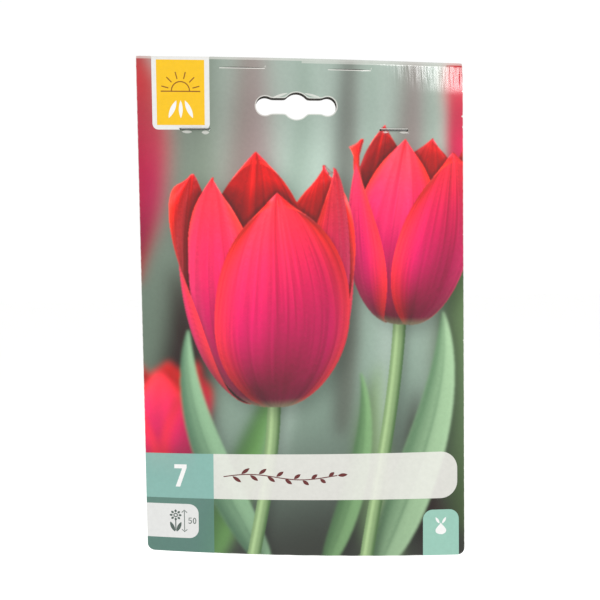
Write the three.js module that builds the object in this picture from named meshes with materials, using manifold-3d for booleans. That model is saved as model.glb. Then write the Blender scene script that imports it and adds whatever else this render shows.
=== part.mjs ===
// A retail pack of tulip bulbs: a folded picture card with a hang slot, and a net bag of bulbs stapled behind
// it. Millimetres. +Z is up, and the picture faces -Y. The origin is the top of the hang slot's arch, midway
// between the header's two boards, where a display hook carries the pack.
import * as THREE from "three";
import { mergeVertices } from "three/addons/utils/BufferGeometryUtils.js";
import Module from "manifold-3d";

// Card: one board, folded over at the top into a short flap behind
const CARD_WIDTH = 130;
const CARD_HEIGHT = 200;
const BOARD = 0.6;
const HEADER_GAP = 2.3;
const FLAP_LENGTH = 36;
const CORNER_RADIUS = 3;
const CARD_SIDE_SHIFT = 4; // the die cuts sit this far left of the card's middle
const CARD_COLUMNS = 14;
const FRONT_ROWS = 15;
const FOLD_STEPS = 8;
const FLAP_ROWS = 4;

// The card isn't flat: its sides lie back from its middle, and two opposite corners curl away
const BOW = 4.1;
const TWIST = 9.5;

// Hang slot: a bar with round ends and a round bulge in its middle
const SLOT_WIDTH = 32;
const SLOT_BAR_HEIGHT = 5.9;
const SLOT_END_RADIUS = 3.7;
const SLOT_ARCH_RADIUS = 5.2;
const SLOT_ARCH_BELOW_FOLD = 13;

// Two knife slits just under the fold
const SLIT_LENGTH = 17.4;
const SLIT_WIDTH = 0.5;
const SLIT_SIDE = 21.1;
const SLIT_BELOW_FOLD = 3.9;

// Staples, clinched behind the flap
const STAPLE_SIDE = 39.4;
const STAPLE_BELOW_FOLD = 27.2;
const STAPLE_CROWN = 11.6;
const STAPLE_WIRE = 0.7;
const STAPLE_CLINCH = 4.4;
const STAPLE_BEND = 0.9;
const STAPLE_TIP_RISE = 0.28;
const STAPLE_CLEARANCE = 0.3;

// Net bag: a tube of diamond mesh, welded flat at its mouth and at its foot and drawn tight over the bulbs
const NET_AROUND = 20;
const NET_ROWS = 18;
const NET_STRAND = 1.1;
const NET_THICKNESS = 0.7;
const NET_MOUTH_Z = -12.1;
const NET_FOOT_Z = -184.4;
const NET_MOUTH_HALF_WIDTH = 50.5;
const NET_FOOT_HALF_WIDTH = 50;
const NET_LAYER = 0.5; // where the bag is flat, each of its two layers lies this far from its middle
const NET_FLAP_ROW = 17; // the row of crossings where the net comes out from under the flap
const NET_FLAP_GAP = 1; // how far below the flap's edge that row lies
const NET_CLEARANCE = 1; // from the net's middle to a bulb's skin
const NET_SLACK_HALF_WIDTH = 66; // the bag before it is drawn tight
const NET_SLACK_HALF_DEPTH = 30;
const NET_PASSES = 300;
const NET_SHARPEST = 0.3; // sine of half the sharpest angle between two strands that is mitred in full
const WELD_HEIGHT = 2.4;
const WELD_THICKNESS = 1.7;
const WELD_OVERHANG = 1.2;

// Bulbs: rows laid from the foot of the bag up, in steps of one bulb from its middle
const BULB_RADIUS = 17.6;
const BULB_PITCH = 36.3;
const BULB_ROW_RISE = 33.8;
const BULB_FIRST_ROW_Z = -158.6;
const BULB_DEPTH = 19.9;
const BULB_ROWS = [
  { places: [-1, 0, 1], lean: 5 },
  { places: [-0.5, 0.5], lean: 6 },
  { places: [0, 1], lean: 22 },
];
const BULB_TIP_FORWARD = 18;
const BULB_SIDES = 20;
const BULB_RINGS = 17;
const BULB_FLAT = 0.11; // how far one side is flattened, in radii, where it grew against its neighbour
const BULB_RIBS = 5;
const BULB_RIB_HEIGHT = 0.012;
const BULB_SEED = 11;

const CARD_TOP = SLOT_ARCH_BELOW_FOLD;
const CARD_BOTTOM = CARD_TOP - CARD_HEIGHT;
const CARD_MIDDLE_Z = CARD_TOP - CARD_HEIGHT / 2;
const SLOT_CENTRE_Z = -SLOT_ARCH_RADIUS;
const STAPLE_Z = CARD_TOP - STAPLE_BELOW_FOLD;
const HEADER_HALF = HEADER_GAP / 2 + BOARD;

const wasm = await Module();
wasm.setup();

// How far the card stands proud of flat at a place on it, towards the viewer, with none at the hang slot.
function proud(x, z) {
  const raw = (px, pz) => {
    const across = (px - CARD_SIDE_SHIFT) / (CARD_WIDTH / 2);
    const up = (pz - CARD_MIDDLE_Z) / (CARD_HEIGHT / 2);
    return -BOW * across * across - TWIST * across * up;
  };
  return raw(x, z) - raw(0, 0);
}

// Carries a geometry from the flat pack onto the bowed one.
function bowed(geometry) {
  const position = geometry.getAttribute("position");
  for (let i = 0; i < position.count; i++) {
    position.setY(i, position.getY(i) - proud(position.getX(i), position.getZ(i)));
  }
  geometry.computeVertexNormals();
  return geometry;
}

function evenly(from, to, steps) {
  return Array.from({ length: steps + 1 }, (_, i) => from + ((to - from) * i) / steps);
}

// A closed sheet from matching outer and inner points: both faces, and a wall along every open edge.
function thickened(outer, inner, faces) {
  const offset = outer.length;
  const index = [];
  const directed = new Set();
  const key = (a, b) => a + ":" + b;
  for (const [a, b, c, d] of faces) {
    index.push(a, b, c, a, c, d);
    index.push(a + offset, c + offset, b + offset, a + offset, d + offset, c + offset);
    for (const [p, q] of [[a, b], [b, c], [c, d], [d, a]]) {
      directed.add(key(p, q));
    }
  }
  for (const edge of directed) {
    const [p, q] = edge.split(":").map(Number);
    if (!directed.has(key(q, p))) {
      index.push(q, p, p + offset, q, p + offset, q + offset);
    }
  }
  const geometry = new THREE.BufferGeometry().setFromPoints([...outer, ...inner]);
  geometry.setIndex(index);
  return geometry;
}

function solid(geometry) {
  const bare = new THREE.BufferGeometry().setAttribute("position", geometry.getAttribute("position"));
  bare.setIndex(geometry.index);
  const merged = mergeVertices(bare, 1e-4);
  return new wasm.Manifold(
    new wasm.Mesh({
      numProp: 3,
      vertProperties: merged.attributes.position.array,
      triVerts: new Uint32Array(merged.index.array),
    }),
  );
}

function geometryOf(manifold) {
  const mesh = manifold.getMesh();
  const geometry = new THREE.BufferGeometry();
  geometry.setAttribute("position", new THREE.BufferAttribute(mesh.vertProperties, 3));
  geometry.setIndex(new THREE.BufferAttribute(mesh.triVerts, 1));
  geometry.computeVertexNormals();
  return geometry;
}

// A cutter along Y from a shape drawn in X and Z. It passes through the header's front board, its back board
// or both, wherever the bow has carried them at that place.
function cutter(shape, boards, x, z, curveSegments = 8) {
  const overrun = 4;
  const nearY = boards === "back" ? 0 : -HEADER_HALF - overrun;
  const farY = boards === "front" ? 0 : HEADER_HALF + overrun;
  const geometry = new THREE.ExtrudeGeometry(shape, {
    depth: farY - nearY,
    bevelEnabled: false,
    curveSegments,
  });
  geometry.rotateX(Math.PI / 2);
  geometry.translate(0, farY - proud(x, z), 0);
  return geometry;
}

function rectangle(x, z, width, height) {
  const shape = new THREE.Shape();
  shape.moveTo(x - width / 2, z - height / 2);
  shape.lineTo(x + width / 2, z - height / 2);
  shape.lineTo(x + width / 2, z + height / 2);
  shape.lineTo(x - width / 2, z + height / 2);
  return shape;
}

function hangSlotShape() {
  const endX = SLOT_WIDTH / 2 - SLOT_END_RADIUS;
  const endAngle = Math.asin(SLOT_BAR_HEIGHT / 2 / SLOT_END_RADIUS);
  const archAngle = Math.asin(SLOT_BAR_HEIGHT / 2 / SLOT_ARCH_RADIUS);
  const z = SLOT_CENTRE_Z;
  const shape = new THREE.Shape();
  shape.absarc(endX, z, SLOT_END_RADIUS, endAngle - Math.PI, Math.PI - endAngle, false);
  shape.absarc(0, z, SLOT_ARCH_RADIUS, archAngle, Math.PI - archAngle, false);
  shape.absarc(-endX, z, SLOT_END_RADIUS, endAngle, 2 * Math.PI - endAngle, false);
  shape.absarc(0, z, SLOT_ARCH_RADIUS, Math.PI + archAngle, 2 * Math.PI - archAngle, false);
  return shape;
}

// What is cut away outside one rounded lower corner; side is -1 for the left corner and 1 for the right.
function cornerWaste(side, edgeZ) {
  const edgeX = CARD_SIDE_SHIFT + (side * CARD_WIDTH) / 2;
  const centreX = edgeX - side * CORNER_RADIUS;
  const centreZ = edgeZ + CORNER_RADIUS;
  const overrun = 1;
  const shape = new THREE.Shape();
  shape.moveTo(edgeX + side * overrun, centreZ);
  shape.lineTo(edgeX + side * overrun, edgeZ - overrun);
  shape.lineTo(centreX, edgeZ - overrun);
  shape.absarc(centreX, centreZ, CORNER_RADIUS, -Math.PI / 2, side > 0 ? 0 : -Math.PI, side < 0);
  return shape;
}

// The board's path from the card's foot, up the front, round the fold and down the flap, as y and z.
function boardStations() {
  const foldZ = CARD_TOP - HEADER_HALF;
  const outerY = HEADER_HALF;
  const innerY = HEADER_HALF - BOARD;
  const frontZ = evenly(CARD_BOTTOM, foldZ, FRONT_ROWS);
  const front = frontZ.map((z) => ({ outer: [-outerY, z], inner: [-innerY, z] }));
  const fold = evenly(Math.PI, 0, FOLD_STEPS).slice(1, -1).map((angle) => ({
    outer: [outerY * Math.cos(angle), foldZ + outerY * Math.sin(angle)],
    inner: [innerY * Math.cos(angle), foldZ + innerY * Math.sin(angle)],
  }));
  const flapZ = evenly(foldZ, CARD_TOP - FLAP_LENGTH, FLAP_ROWS);
  const flap = flapZ.map((z) => ({ outer: [outerY, z], inner: [innerY, z] }));
  return [...front, ...fold, ...flap];
}

function pictureCard() {
  const left = CARD_SIDE_SHIFT - CARD_WIDTH / 2;
  const columns = evenly(left, left + CARD_WIDTH, CARD_COLUMNS);
  const stations = boardStations();
  const outer = [];
  const inner = [];
  for (const station of stations) {
    for (const x of columns) {
      outer.push(new THREE.Vector3(x, ...station.outer));
      inner.push(new THREE.Vector3(x, ...station.inner));
    }
  }
  const faces = [];
  const wide = columns.length;
  for (let row = 0; row + 1 < stations.length; row++) {
    for (let column = 0; column + 1 < wide; column++) {
      const at = row * wide + column;
      faces.push([at, at + 1, at + wide + 1, at + wide]);
    }
  }
  const legHole = STAPLE_WIRE + 2 * STAPLE_CLEARANCE;
  const slitZ = CARD_TOP - SLIT_BELOW_FOLD;
  const cuts = [cutter(hangSlotShape(), "both", 0, SLOT_CENTRE_Z, 7)];
  for (const side of [-1, 1]) {
    const slitX = side * SLIT_SIDE;
    cuts.push(cutter(rectangle(slitX, slitZ, SLIT_LENGTH, SLIT_WIDTH), "front", slitX, slitZ));
    const edgeX = CARD_SIDE_SHIFT + (side * CARD_WIDTH) / 2;
    for (const [boards, edgeZ] of [["front", CARD_BOTTOM], ["back", CARD_TOP - FLAP_LENGTH]]) {
      cuts.push(cutter(cornerWaste(side, edgeZ), boards, edgeX, edgeZ, 5));
    }
    for (const legX of stapleLegs(side)) {
      cuts.push(cutter(rectangle(legX, STAPLE_Z, legHole, legHole), "both", legX, STAPLE_Z));
    }
  }
  const board = solid(bowed(thickened(outer, inner, faces)));
  return geometryOf(cuts.reduce((card, cut) => card.subtract(solid(cut)), board));
}

function stapleLegs(side) {
  const reach = (STAPLE_CROWN - STAPLE_WIRE) / 2;
  return [side * STAPLE_SIDE - reach, side * STAPLE_SIDE + reach];
}

// A staple seen from above: crown in front, two legs through the header, and clinched ends turned in behind.
function staple(side) {
  const crownY = -HEADER_HALF - STAPLE_CLEARANCE;
  const clinchY = HEADER_HALF + STAPLE_CLEARANCE;
  const half = STAPLE_CROWN / 2;
  const wire = STAPLE_WIRE;
  const bend = STAPLE_BEND;
  const tip = half - STAPLE_CLINCH;
  const tipY = clinchY + STAPLE_TIP_RISE;
  const shape = new THREE.Shape();
  shape.moveTo(-half + bend, crownY - wire);
  shape.lineTo(half - bend, crownY - wire);
  shape.quadraticCurveTo(half, crownY - wire, half, crownY - wire + bend);
  shape.lineTo(half, clinchY + wire - bend);
  shape.quadraticCurveTo(half, clinchY + wire, half - bend, clinchY + wire);
  shape.lineTo(tip, tipY + wire);
  shape.lineTo(tip, tipY);
  shape.lineTo(half - wire, clinchY);
  shape.lineTo(half - wire, crownY);
  shape.lineTo(-half + wire, crownY);
  shape.lineTo(-half + wire, clinchY);
  shape.lineTo(-tip, tipY);
  shape.lineTo(-tip, tipY + wire);
  shape.lineTo(-half + bend, clinchY + wire);
  shape.quadraticCurveTo(-half, clinchY + wire, -half, clinchY + wire - bend);
  shape.lineTo(-half, crownY - wire + bend);
  shape.quadraticCurveTo(-half, crownY - wire, -half + bend, crownY - wire);
  const geometry = new THREE.ExtrudeGeometry(shape, { depth: wire, bevelEnabled: false, curveSegments: 3 });
  geometry.translate(side * STAPLE_SIDE, 0, STAPLE_Z - wire / 2);
  return geometryOf(solid(bowed(geometry)));
}

// A bulb standing on its basal plate: flat root ring, full body, and a drawn-out nose.
const BULB_PROFILE = [
  [0, -0.86], [0.3, -0.88], [0.42, -0.93], [0.66, -0.78], [0.94, -0.36], [1, -0.04],
  [0.94, 0.32], [0.76, 0.65], [0.48, 0.94], [0.25, 1.14], [0.13, 1.27], [0, 1.36],
];

// The profile as a smooth line from the root to the nose, on the axis at both ends.
function bulbSkin() {
  const curve = new THREE.SplineCurve(
    BULB_PROFILE.map(([r, z]) => new THREE.Vector2(r * BULB_RADIUS, z * BULB_RADIUS)),
  );
  const points = curve.getPoints(BULB_RINGS);
  points[0].x = 0;
  points[points.length - 1].x = 0;
  return points;
}

function bulb() {
  const geometry = new THREE.LatheGeometry(bulbSkin(), BULB_SIDES);
  geometry.rotateX(Math.PI / 2);
  const position = geometry.getAttribute("position");
  for (let i = 0; i < position.count; i++) {
    const angle = Math.atan2(position.getY(i), position.getX(i));
    const flatSide = BULB_FLAT * Math.max(0, Math.cos(angle)) ** 3;
    const ribs = BULB_RIB_HEIGHT * Math.cos(BULB_RIBS * angle);
    const swell = 1 - flatSide + ribs;
    position.setX(i, position.getX(i) * swell);
    position.setY(i, position.getY(i) * swell);
  }
  return geometry;
}

// A small seeded generator, so that every build lays the bulbs alike.
function seeded(seed) {
  let state = seed;
  return () => {
    state = (state * 1664525 + 1013904223) % 4294967296;
    return (state / 4294967296) * 2 - 1;
  };
}

// Where each bulb lies: its middle, its turn and the way its nose points.
function laidBulbs() {
  const random = seeded(BULB_SEED);
  const bulbs = [];
  BULB_ROWS.forEach(({ places, lean }, row) => {
    for (const place of places) {
      const x = place * BULB_PITCH;
      const z = BULB_FIRST_ROW_Z + row * BULB_ROW_RISE;
      const degrees = [BULB_TIP_FORWARD, lean, 180].map((most) => most * random());
      const turn = new THREE.Euler(...degrees.map(THREE.MathUtils.degToRad), "XYZ");
      const nose = new THREE.Vector3(0, 0, 1).applyEuler(turn);
      bulbs.push({ middle: new THREE.Vector3(x, BULB_DEPTH - proud(x, z), z), turn, nose });
    }
  });
  return bulbs;
}

// How far a bulb's skin lies from its middle, at an angle from its nose.
function bulbReach(skin, angle) {
  const angleOf = ({ x, y }) => Math.atan2(x, y);
  const i = Math.max(1, skin.findIndex((point) => angleOf(point) <= angle));
  const share = THREE.MathUtils.inverseLerp(angleOf(skin[i - 1]), angleOf(skin[i]), angle);
  return THREE.MathUtils.lerp(skin[i - 1].length(), skin[i].length(), share);
}

// A crossing's place where the bag lies flat. Share runs from 0 to 1 round the bag, from its right side by
// way of its back.
function flatPlace(share, halfWidth, z) {
  const x = halfWidth * (4 * Math.abs(share - 0.5) - 1);
  const layer = NET_LAYER * Math.sign(Math.round(NET_AROUND * Math.sin(2 * Math.PI * share)));
  return new THREE.Vector3(x, layer - proud(x, z), z);
}

// Moves a point of the net clear of the bulbs and of the card's front board.
function moveClear(point, bulbs, skin) {
  for (const { middle, nose } of bulbs) {
    const away = point.clone().sub(middle);
    const clear = bulbReach(skin, away.angleTo(nose)) + NET_CLEARANCE;
    if (away.length() < clear) point.copy(middle).addScaledVector(away.normalize(), clear);
  }
  point.y = Math.max(point.y, -NET_LAYER - proud(point.x, point.z));
}

// The net's crossings, row by row from its foot. Each is drawn to the middle of its four neighbours, and is
// then moved clear, with the middles of the two strands below it. One row is held at the flap's edge.
function drapedNet(bulbs) {
  const skin = bulbSkin();
  const share = (row, turn) => (turn + (row % 2) / 2) / NET_AROUND;
  const flapZ = CARD_TOP - FLAP_LENGTH - NET_FLAP_GAP;
  const rows = evenly(NET_FOOT_Z, NET_MOUTH_Z, NET_ROWS).map((z, row) =>
    Array.from({ length: NET_AROUND }, (_, turn) => {
      if (row === 0) return flatPlace(share(row, turn), NET_FOOT_HALF_WIDTH, z);
      if (row === NET_ROWS) return flatPlace(share(row, turn), NET_MOUTH_HALF_WIDTH, z);
      const angle = 2 * Math.PI * share(row, turn);
      const y = BULB_DEPTH + NET_SLACK_HALF_DEPTH * Math.sin(angle);
      return new THREE.Vector3(NET_SLACK_HALF_WIDTH * Math.cos(angle), y, z);
    }),
  );
  const at = (row, turn) => rows[row][THREE.MathUtils.euclideanModulo(turn, NET_AROUND)];
  const free = (row) => row > 0 && row < NET_FLAP_ROW;
  for (let pass = 0; pass < NET_PASSES; pass++) {
    for (let row = 1; row < NET_ROWS; row++) {
      const ahead = row % 2;
      for (let turn = 0; turn < NET_AROUND; turn++) {
        const here = at(row, turn);
        here.set(0, 0, 0);
        for (const [rise, step] of [[1, ahead], [1, ahead - 1], [-1, ahead], [-1, ahead - 1]]) {
          here.addScaledVector(at(row + rise, turn + step), 1 / 4);
        }
        if (row === NET_FLAP_ROW) {
          here.y = flatPlace(share(row, turn), 0, 0).y - proud(here.x, flapZ);
          here.z = flapZ;
          continue;
        }
        moveClear(here, bulbs, skin);
        for (const step of [ahead, ahead - 1]) {
          const below = at(row - 1, turn + step);
          const middle = here.clone().lerp(below, 1 / 2);
          const moved = middle.clone();
          moveClear(moved, bulbs, skin);
          moved.sub(middle);
          here.add(moved);
          if (free(row - 1)) below.add(moved);
        }
      }
    }
  }
  return at;
}

// The corners of the lozenge where two strands cross, and its outward normal. At the net's ends, and where it
// bends at the flap's edge, it is shaped as if its strands went straight on.
function lozenge(at, inside, row, turn) {
  const here = at(row, turn);
  const step = (side) => (row % 2) - (side > 0 ? 0 : 1);
  const direction = (rise, side) => {
    const bent = row === NET_FLAP_ROW && rise < 0;
    if (bent || row + rise < 0 || row + rise > NET_ROWS) return direction(-rise, -side).negate();
    const round = inside(row + 1, turn + step(side)) ? 1 : -1;
    const found = at(row + rise, turn + step(round * side)).clone().sub(here).normalize();
    return found.multiply(new THREE.Vector3(round, round, 1));
  };
  const upRight = direction(1, 1);
  const upLeft = direction(1, -1);
  const downRight = direction(-1, 1);
  const downLeft = direction(-1, -1);
  const across = upRight.clone().add(downRight).sub(upLeft).sub(downLeft);
  const along = upRight.clone().add(upLeft).sub(downRight).sub(downLeft);
  const corner = (one, other) => {
    const sine = Math.max(one.distanceTo(other) / 2, NET_SHARPEST);
    return one.clone().add(other).setLength(NET_STRAND / 2 / sine).add(here);
  };
  return {
    normal: across.cross(along).normalize(),
    right: corner(upRight, downRight),
    up: corner(upRight, upLeft),
    left: corner(upLeft, downLeft),
    down: corner(downLeft, downRight),
  };
}

// Half of the net, front or back, as a closed sheet: a lozenge at each crossing, and a strand from its upper
// sides to the two crossings above.
function netHalf(at, first) {
  const last = first + NET_AROUND / 2;
  const inside = (row, turn) => turn >= first && turn <= last - (row % 2);
  const outer = [];
  const inner = [];
  const crossings = new Map();
  const crossing = (turn, row) => crossings.get(turn + ":" + row);
  for (let row = 0; row <= NET_ROWS; row++) {
    for (let turn = first; inside(row, turn); turn++) {
      const { normal, ...corners } = lozenge(at, inside, row, turn);
      const numbers = {};
      for (const [side, corner] of Object.entries(corners)) {
        numbers[side] = outer.length;
        outer.push(corner.clone().addScaledVector(normal, NET_THICKNESS / 2));
        inner.push(corner.clone().addScaledVector(normal, -NET_THICKNESS / 2));
      }
      crossings.set(turn + ":" + row, numbers);
    }
  }
  const faces = [];
  for (let row = 0; row <= NET_ROWS; row++) {
    for (let turn = first; inside(row, turn); turn++) {
      const here = crossing(turn, row);
      const next = crossing(turn + (row % 2), row + 1);
      const previous = crossing(turn + (row % 2) - 1, row + 1);
      faces.push([here.right, here.up, here.left, here.down]);
      if (next) faces.push([here.up, here.right, next.down, next.left]);
      if (previous) faces.push([here.left, here.up, previous.right, previous.down]);
    }
  }
  return solid(thickened(outer, inner, faces));
}

function weld(z, halfWidth) {
  const geometry = new THREE.BoxGeometry(2 * halfWidth, WELD_THICKNESS, WELD_HEIGHT, 8, 1, 1);
  geometry.translate(0, 0, z);
  return geometry;
}

function netBag(bulbs) {
  const at = drapedNet(bulbs);
  const mouth = solid(bowed(weld(NET_MOUTH_Z, NET_MOUTH_HALF_WIDTH + WELD_OVERHANG)));
  const foot = solid(bowed(weld(NET_FOOT_Z, NET_FOOT_HALF_WIDTH + WELD_OVERHANG)));
  return geometryOf(netHalf(at, 0).add(netHalf(at, NET_AROUND / 2)).add(mouth).add(foot));
}

function finish(color, roughness, metalness = 0) {
  return new THREE.MeshStandardMaterial({ color, roughness, metalness });
}

const pack = new THREE.Group();
pack.name = "tulip_bulb_pack";

function addMesh(name, geometry, material) {
  const mesh = new THREE.Mesh(geometry, material);
  mesh.name = name;
  pack.add(mesh);
  return mesh;
}

const bulbs = laidBulbs();
addMesh("picture_card", pictureCard(), finish("#c8404a", 0.25));
addMesh("staple_left", staple(-1), finish("#b9bcc0", 0.3, 1));
addMesh("staple_right", staple(1), finish("#b9bcc0", 0.3, 1));
addMesh("net_bag", netBag(bulbs), finish("#2f7d4a", 0.5));

bulbs.forEach(({ middle, turn }, i) => {
  const mesh = addMesh("bulb_" + (i + 1), bulb(), finish("#8a5a32", 0.6));
  mesh.position.copy(middle);
  mesh.rotation.copy(turn);
});

export default pack;
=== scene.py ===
"""A retail pack of tulip bulbs: a glossy folded picture card with a hang slot and a net bag stapled to it."""

import math
from collections import namedtuple
from types import SimpleNamespace

import bpy
import numpy as np
from bpy.props import FloatProperty, FloatVectorProperty, IntProperty, PointerProperty
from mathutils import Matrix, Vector
from mathutils.geometry import delaunay_2d_cdt


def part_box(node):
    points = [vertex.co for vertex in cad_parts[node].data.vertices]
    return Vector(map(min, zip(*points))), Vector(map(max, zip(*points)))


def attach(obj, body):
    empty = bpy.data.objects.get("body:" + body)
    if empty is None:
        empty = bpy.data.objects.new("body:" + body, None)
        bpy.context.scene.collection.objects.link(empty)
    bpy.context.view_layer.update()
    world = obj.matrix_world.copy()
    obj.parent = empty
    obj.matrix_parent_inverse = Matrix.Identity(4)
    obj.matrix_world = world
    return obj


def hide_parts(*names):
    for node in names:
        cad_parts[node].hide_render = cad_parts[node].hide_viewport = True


bl_info = {
    "name": "Tulip bulb pack",
    "version": (1, 0, 0),
    "blender": (4, 5, 0),
    "location": "3D View > Sidebar > Bulb Pack",
    "description": "Builds a hanging pack of tulip bulbs around its packed frame",
    "category": "Add Mesh",
}

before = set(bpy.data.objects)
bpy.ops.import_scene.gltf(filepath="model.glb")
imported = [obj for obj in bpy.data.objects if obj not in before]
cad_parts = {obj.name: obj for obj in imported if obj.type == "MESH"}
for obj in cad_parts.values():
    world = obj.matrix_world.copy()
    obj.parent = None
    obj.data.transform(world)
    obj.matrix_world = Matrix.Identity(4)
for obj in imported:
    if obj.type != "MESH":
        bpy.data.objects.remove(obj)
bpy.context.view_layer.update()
MM = 0.001
# Pale paper, used for bare worn film and for painted highlights
BARE_PAPER_AND_HIGHLIGHT = "#DAD8D2"


def box_size(node, axis):
    """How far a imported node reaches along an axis, in millimetres."""
    low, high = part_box(node)
    return (high[axis] - low[axis]) / MM


def length(name, description, default):
    """A size in millimetres, kept as a Blender length."""
    size = {"default": default * MM, "subtype": "DISTANCE", "unit": "LENGTH"}
    return FloatProperty(name=name, description=description, **size)


def power(name, description, default):
    """A lamp's power, in watts."""
    return FloatProperty(name=name, description=description, default=default, min=0, unit="POWER")


def linear(hex_colour):
    """The linear colour of an sRGB hex value."""
    channels = np.array([int(hex_colour[i : i + 2], 16) / 255 for i in (1, 3, 5)])
    return np.where(channels <= 0.04045, channels / 12.92, ((channels + 0.055) / 1.055) ** 2.4)


def ink(name, description, hex_colour):
    """A colour, given as sRGB hex and kept as linear."""
    settings = {"default": tuple(linear(hex_colour)), "subtype": "COLOR", "size": 3, "min": 0, "max": 1}
    return FloatVectorProperty(name=name, description=description, **settings)


class BulbPackCard(bpy.types.PropertyGroup):
    """Sizes of the folded card. Its middle lies side_shift to the right of the hang slot's."""

    width: length("Width", "Across the card", box_size("picture_card", 0))
    height: length("Height", "From the fold to the foot", box_size("picture_card", 2))
    board: length("Board", "Thickness of the paperboard", 0.6)
    gap: length("Header gap", "Between the two boards of the header", 2.3)
    flap: length("Flap", "Depth of the flap behind the fold", 36)
    corner: length("Corner radius", "Of the lower corners", 3)
    side_shift: length("Side shift", "From the hang slot to the card's middle", 4)
    slot_below_fold: length("Slot below fold", "From the fold to the top of the slot's arch", 13)
    bow: length("Bow", "How far the sides lie behind the middle", 4.1)
    twist: length("Twist", "How far two opposite corners curl away", 9.5)
    slot_width: length("Slot width", "Of the hang slot", 32)
    slot_bar: length("Slot bar", "Height of the hang slot's bar", 5.9)
    slot_end: length("Slot end", "Radius of the hang slot's ends", 3.7)
    slot_arch: length("Slot arch", "Radius of the bulge in the slot's middle", 5.2)
    slit: length("Slit", "Length of the knife slits under the fold", 17.4)
    slit_side: length("Slit place", "From the slot's middle to a slit's middle", 21.1)
    slit_below_fold: length("Slit below fold", "From the fold to a slit", 3.9)
    finest: length("Finest print", "Smallest triangle edge in the printed picture", 0.36)
    coarsest: length("Coarsest print", "Largest triangle edge in the printed picture", 2.2)


class BulbPackInks(bpy.types.PropertyGroup):
    """Colours of the printed panels and of the tulips in the picture."""

    white: ink("White", "Unprinted panels and numerals", "#DEDEDC")
    label: ink("Label", "Yellow label", "#E1B200")
    label_line: ink("Label line", "Line drawing on the label", "#7E4A00")
    block: ink("Count block", "Block behind the count of bulbs", "#7BA89F")
    strip: ink("Foot strip", "Strip under the count block", "#50796E")
    band: ink("Title band", "Pale band across the card", "#D6D5CF")
    sprig: ink("Sprig", "Ornament on the title band", "#5A1A18")
    symbol: ink("Symbols", "Small planting symbols", "#44534C")
    tab: ink("Grade tab", "Tab at the lower right", "#8BB7A7")
    board_back: ink("Back", "Uncoated back of the board", "#D9D6CE")
    board_core: ink("Cut edge", "Core of the board where it is cut", "#E9E6DF")
    petal_deep: ink("Petal foot", "At the foot of a petal", "#6A0A2C")
    petal_body: ink("Petal body", "Middle of a petal", "#D2125E")
    petal_flame: ink("Petal flame", "Along the middle of a petal", "#9A0C44")
    petal_edge: ink("Petal edge", "Along the rim of a petal", "#F2301F")
    petal_heart: ink("Petal heart", "Deep inside the bloom", "#3A050E")
    petal_inside: ink("Petal inside", "Upper inside of a petal", "#CE1513")
    stem_light: ink("Stem", "Lit side of a stem", "#8FA878")
    stem_dark: ink("Stem shade", "Shaded side of a stem", "#3C5733")


class BulbPackStaples(bpy.types.PropertyGroup):
    """Sizes of the wire staples."""

    side: length("Place", "From the slot's middle to a staple's middle", 39.4)
    below_fold: length("Below fold", "From the fold to the staples", 27.2)
    crown: length("Crown", "Outside width of a staple", box_size("staple_left", 0))
    wire: length("Wire", "Thickness of the wire", 0.5)
    clinch: length("Clinch", "Length of each turned-in end", 4.4)
    bend: length("Bend", "Outside radius of the bends", 0.9)
    seat: length("Seat", "Room between the crown and the printed face", 0.02)


class BulbPackNet(bpy.types.PropertyGroup):
    """Sizes of the net bag."""

    cells_around: IntProperty(name="Cells around", description="Diamonds round the bag", default=38, min=8)
    rows: IntProperty(name="Rows", description="Half diamonds from foot to mouth", default=34, min=6)
    flap_row: IntProperty(name="Flap row", description="Row that lies at the flap's edge", default=32, min=5)
    strand: length("Strand", "Thickness of a strand between crossings", 0.62)
    knot: length("Knot", "Thickness of a strand at a crossing", 0.95)
    mouth_z: length("Mouth", "Height of the welded mouth", -12.1)
    foot_z: length("Foot", "Height of the welded foot", -184.4)
    mouth_half_width: length("Mouth half width", "Half the width of the mouth", 50.5)
    foot_half_width: length("Foot half width", "Half the width of the foot", 50)
    layer: length("Layer", "From the flat bag's middle to each of its layers", 0.5)
    flap_gap: length("Flap gap", "From the flap's edge to the row below it", 1)
    slack_half_width: length("Slack half width", "Half the bag's width before it is drawn tight", 66)
    slack_half_depth: length("Slack half depth", "Half the bag's depth before it is drawn tight", 30)
    weld_height: length("Weld height", "Height of the welded bands", 2.4)
    weld_thickness: length("Weld thickness", "Thickness of the welded bands", 1.5)
    weld_overhang: length("Weld overhang", "How far a weld reaches past the net", 1.1)
    plastic: ink("Plastic", "Colour of the netting", "#2F8A4E")


class BulbPackBulbs(bpy.types.PropertyGroup):
    """Sizes and colours of the bulbs."""

    radius: length("Radius", "Of a bulb at its widest", 17.6)
    sides: IntProperty(name="Sides", description="Faces round a bulb", default=150, min=24)
    rings: IntProperty(name="Rings", description="Faces from root to nose", default=110, min=16)
    flakes: IntProperty(name="Flakes", description="Loose flakes of skin on a bulb", default=9, min=4)
    roots: IntProperty(name="Roots", description="Dead roots round a bulb's foot", default=34, min=3)
    tunic: ink("Tunic", "Dry outer skin", "#94562E")
    tunic_dark: ink("Tunic shade", "Old skin towards the nose and root", "#56301C")
    tunic_pale: ink("Tunic light", "Thin skin that has lifted", "#C38A55")
    flesh: ink("Flesh", "Scale under torn skin", "#DDCBA4")
    root: ink("Root", "Dry root stubs", "#B79A6E")


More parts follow.
